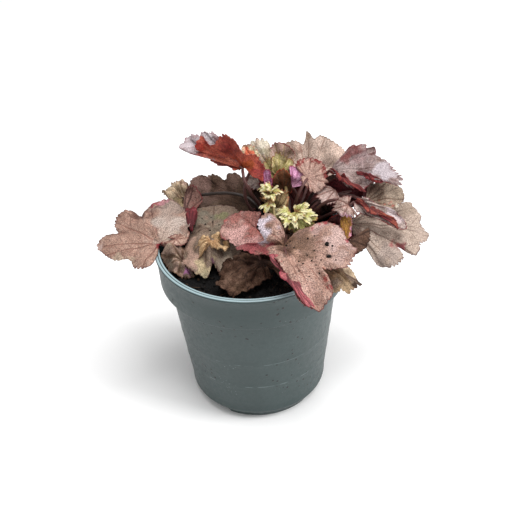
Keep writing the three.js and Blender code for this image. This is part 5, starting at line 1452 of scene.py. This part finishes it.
def litter(blade, leaf, seed):
    """Crumbs of soil that lie on a blade, stated by across, out and size in mm."""
    top = blade["points"][blade["values"]["face"] > 0]
    fallen = []
    for order, (across, out, size) in enumerate(leaf["litter"]):
        nearest = top[np.linalg.norm(top - spot_on(leaf, across, out), axis=1).argmin()]
        points, faces = lump(size, seed + order, 0.8)
        lift = 0.3 * size * leaf_normal(leaf)
        fallen.append(shell(points + nearest + lift, faces, finish=2, fleck=0.1))
    return fallen


total = 0
for order, leaf in enumerate(LEAVES):
    name, small = leaf["name"], leaf.get("small", False)
    leaf.setdefault("tooth_pitch", SMALL_TOOTH_PITCH if small else TOOTH_PITCH)
    blade = blade_shell(leaf, rings=18 if small else 30)
    middle = (len(leaf["tips"]) - 1) / 2
    vein = 0.12 * tip_line(leaf["tips"], np.array([middle]))[0]
    shells = [blade, stalk_shell(leaf, leaf_normal(leaf), vein)]
    # Stalks are painted darker than their own maroon, partly as painted shade, since most stand in the
    # shaded heart of the plant.
    low, high = leaf.get("stalk", ((46, 26, 22), (84, 42, 38)))
    finishes = [full_skin(name + "_skin", leaf, order * 0.37), stalk_skin(name + "_stalk", low, high)]
    if "litter" in leaf:
        finishes.append(CRUMB_FINISH)
        shells += litter(blade, leaf, 300 + order)
    if "wing" in leaf:
        wing = dict(leaf, tips=leaf["wing"], notches=leaf["wing_notches"], turned=False, veins=[1, 3, 5],
                    folds=[], patches=leaf["wing_patches"])
        shells.append(blade_shell(wing, rings=24))
    add_frills_and_shade_sheets(name, shells, finishes)
    total += settle(piece_of(name + "_grown", shells, finishes), name)
print("leaves:", total, "triangles")

# %% [markdown]
# ## Young shoots
# New leaves open in a tight ruff: lime to cream, deeply cut, frilled, with red tips. Each shoot is
# a whorl of small blades of the same making, with larger teeth and stronger ripples. Extra leaves
# fill the heart, so that the ruff is dense from every side.

# %% Build the shoots
SHOOTS = [
    dict(name="shoot_front", tip=[27, 2, 129], leaves=6, reach=13, fan=[150, 390], low=12, steep=30,
         sway=[4, -9, -2], root=[0, 287]),
    dict(name="shoot_middle", tip=[14, 5.6, 141.8], leaves=4, reach=11, fan=[110, 320], low=-5, steep=62,
         sway=[0, -21, -2], root=[0, 196]),
    dict(name="shoot_back", tip=[21, 39.6, 139.8], leaves=6, reach=10, fan=[130, 400], low=-10, steep=62,
         sway=[4, -12, 6], root=[0, 102]),
]
YOUNG_LOBES = ((-30, 0.8), (0, 1), (30, 0.8))


def young_leaf(tip, bearing, rise, size):
    """One frilled blade of a shoot with three lobes, by its bearing and rise in degrees."""
    bearing, rise = math.radians(bearing), math.radians(rise)
    side = np.array([-math.sin(bearing), math.cos(bearing), 0])
    along = np.array([math.cos(bearing), math.sin(bearing), math.tan(rise)])
    along /= np.linalg.norm(along)
    tips = []
    for spread, share in YOUNG_LOBES:
        angle = math.radians(spread)
        tips.append((along * math.cos(angle) + side * math.sin(angle)) * (size * share))
    patches = [(lobe, 1.0, size * 0.3, (226, 220, 180), 0.8) for lobe in range(len(tips))]
    patches += [(1, 0.15, size * 0.3, (120, 52, 44), 0.7), (1, 0.55, size * 0.1, (150, 60, 50), 0.6)]
    leaf = dict(hub=tip + along * 2.2, tips=tips, notches=0.3, cup=1.5, pleat=0.4, teeth=1.6,
                tooth_pitch=2.3, frill=1.4, quilt=0.5, wavy=0.9, patches=patches)
    return blade_shell(leaf, rings=12, step=0.45, thickness=0.45)


for order, shoot in enumerate(SHOOTS):
    draw = np.random.default_rng(60 + order)
    name, tip, count = shoot["name"], shoot["tip"], shoot["leaves"]
    shells = []
    for i in range(count):
        bearing = shoot["fan"][0] + (shoot["fan"][1] - shoot["fan"][0]) * i / (count - 1)
        rise, share = (shoot["steep"], 0.75) if i % 2 else (shoot["low"], 1)
        size = shoot["reach"] * share
        shells.append(young_leaf(tip, bearing, rise, size))
        shells.append(young_leaf(tip, bearing + 25, 35 + draw.uniform(-8, 8), size * 0.72))
    heart, faces = lump(2.6, 80 + order, 1.0)
    shells.append(shell(heart + tip, faces, face=1, rim=3))
    upward = np.array([0, 0, 1.0])
    shells.append(stalk_shell(dict(shoot, hub=tip), upward, upward))
    finishes = [leaf_skin(name + "_skin", seed=9 + order, **KINDS["lime"])]
    finishes.append(stalk_skin(name + "_stalk", (96, 60, 44), (150, 130, 78)))
    add_frills_and_shade_sheets(name, shells, finishes)
    settle(piece_of(name + "_grown", shells, finishes), name)

# %% [markdown]
# ## The studio
# A plain pale floor and soft light from all round show the leaf colours without hard shadows. A
# broad lamp above the plant models the folds, and a weaker one opens the right side.

# %% Lay the floor and hang the lamps
FLOOR_REACH = 3
corners = [(x * FLOOR_REACH, y * FLOOR_REACH, 0) for x, y in ((-1, -1), (1, -1), (1, 1), (-1, 1))]
floor_mesh = bpy.data.meshes.new("studio_floor")
floor_mesh.from_pydata(corners, [], [(0, 1, 2, 3)])
floor = placed("studio_floor", floor_mesh)
floor_finish = Finish("pale_floor")
soft = floor_finish.noise(3, 2)
pale = floor_finish.mix(soft, paint(252, 252, 252), paint(255, 255, 255))
floor.data.materials.append(floor_finish.done(pale, 0.9, soft, 0.01))


LAMP_TARGET = Vector((0, 0, 0.1))
SKY_STRENGTH = 0.6


def lamp(name, place, size, power):
    """A square soft lamp that faces the plant."""
    light = bpy.data.lights.new(name, "AREA")
    light.size, light.energy = size, power
    holder = placed(name, light)
    holder.location = place
    holder.rotation_euler = (Vector(place) - LAMP_TARGET).to_track_quat("Z", "Y").to_euler()


lamp("lamp_above", (0.1, -0.15, 1.3), 0.7, 12)
lamp("lamp_right", (1.0, -0.3, 0.8), 0.6, 10)
world = bpy.data.worlds.new("studio")
world.use_nodes = True
sky = world.node_tree.nodes["Background"].inputs
sky["Color"].default_value = (1, 1, 1, 1)
sky["Strength"].default_value = SKY_STRENGTH
bpy.context.scene.world = world
print("studio lit")
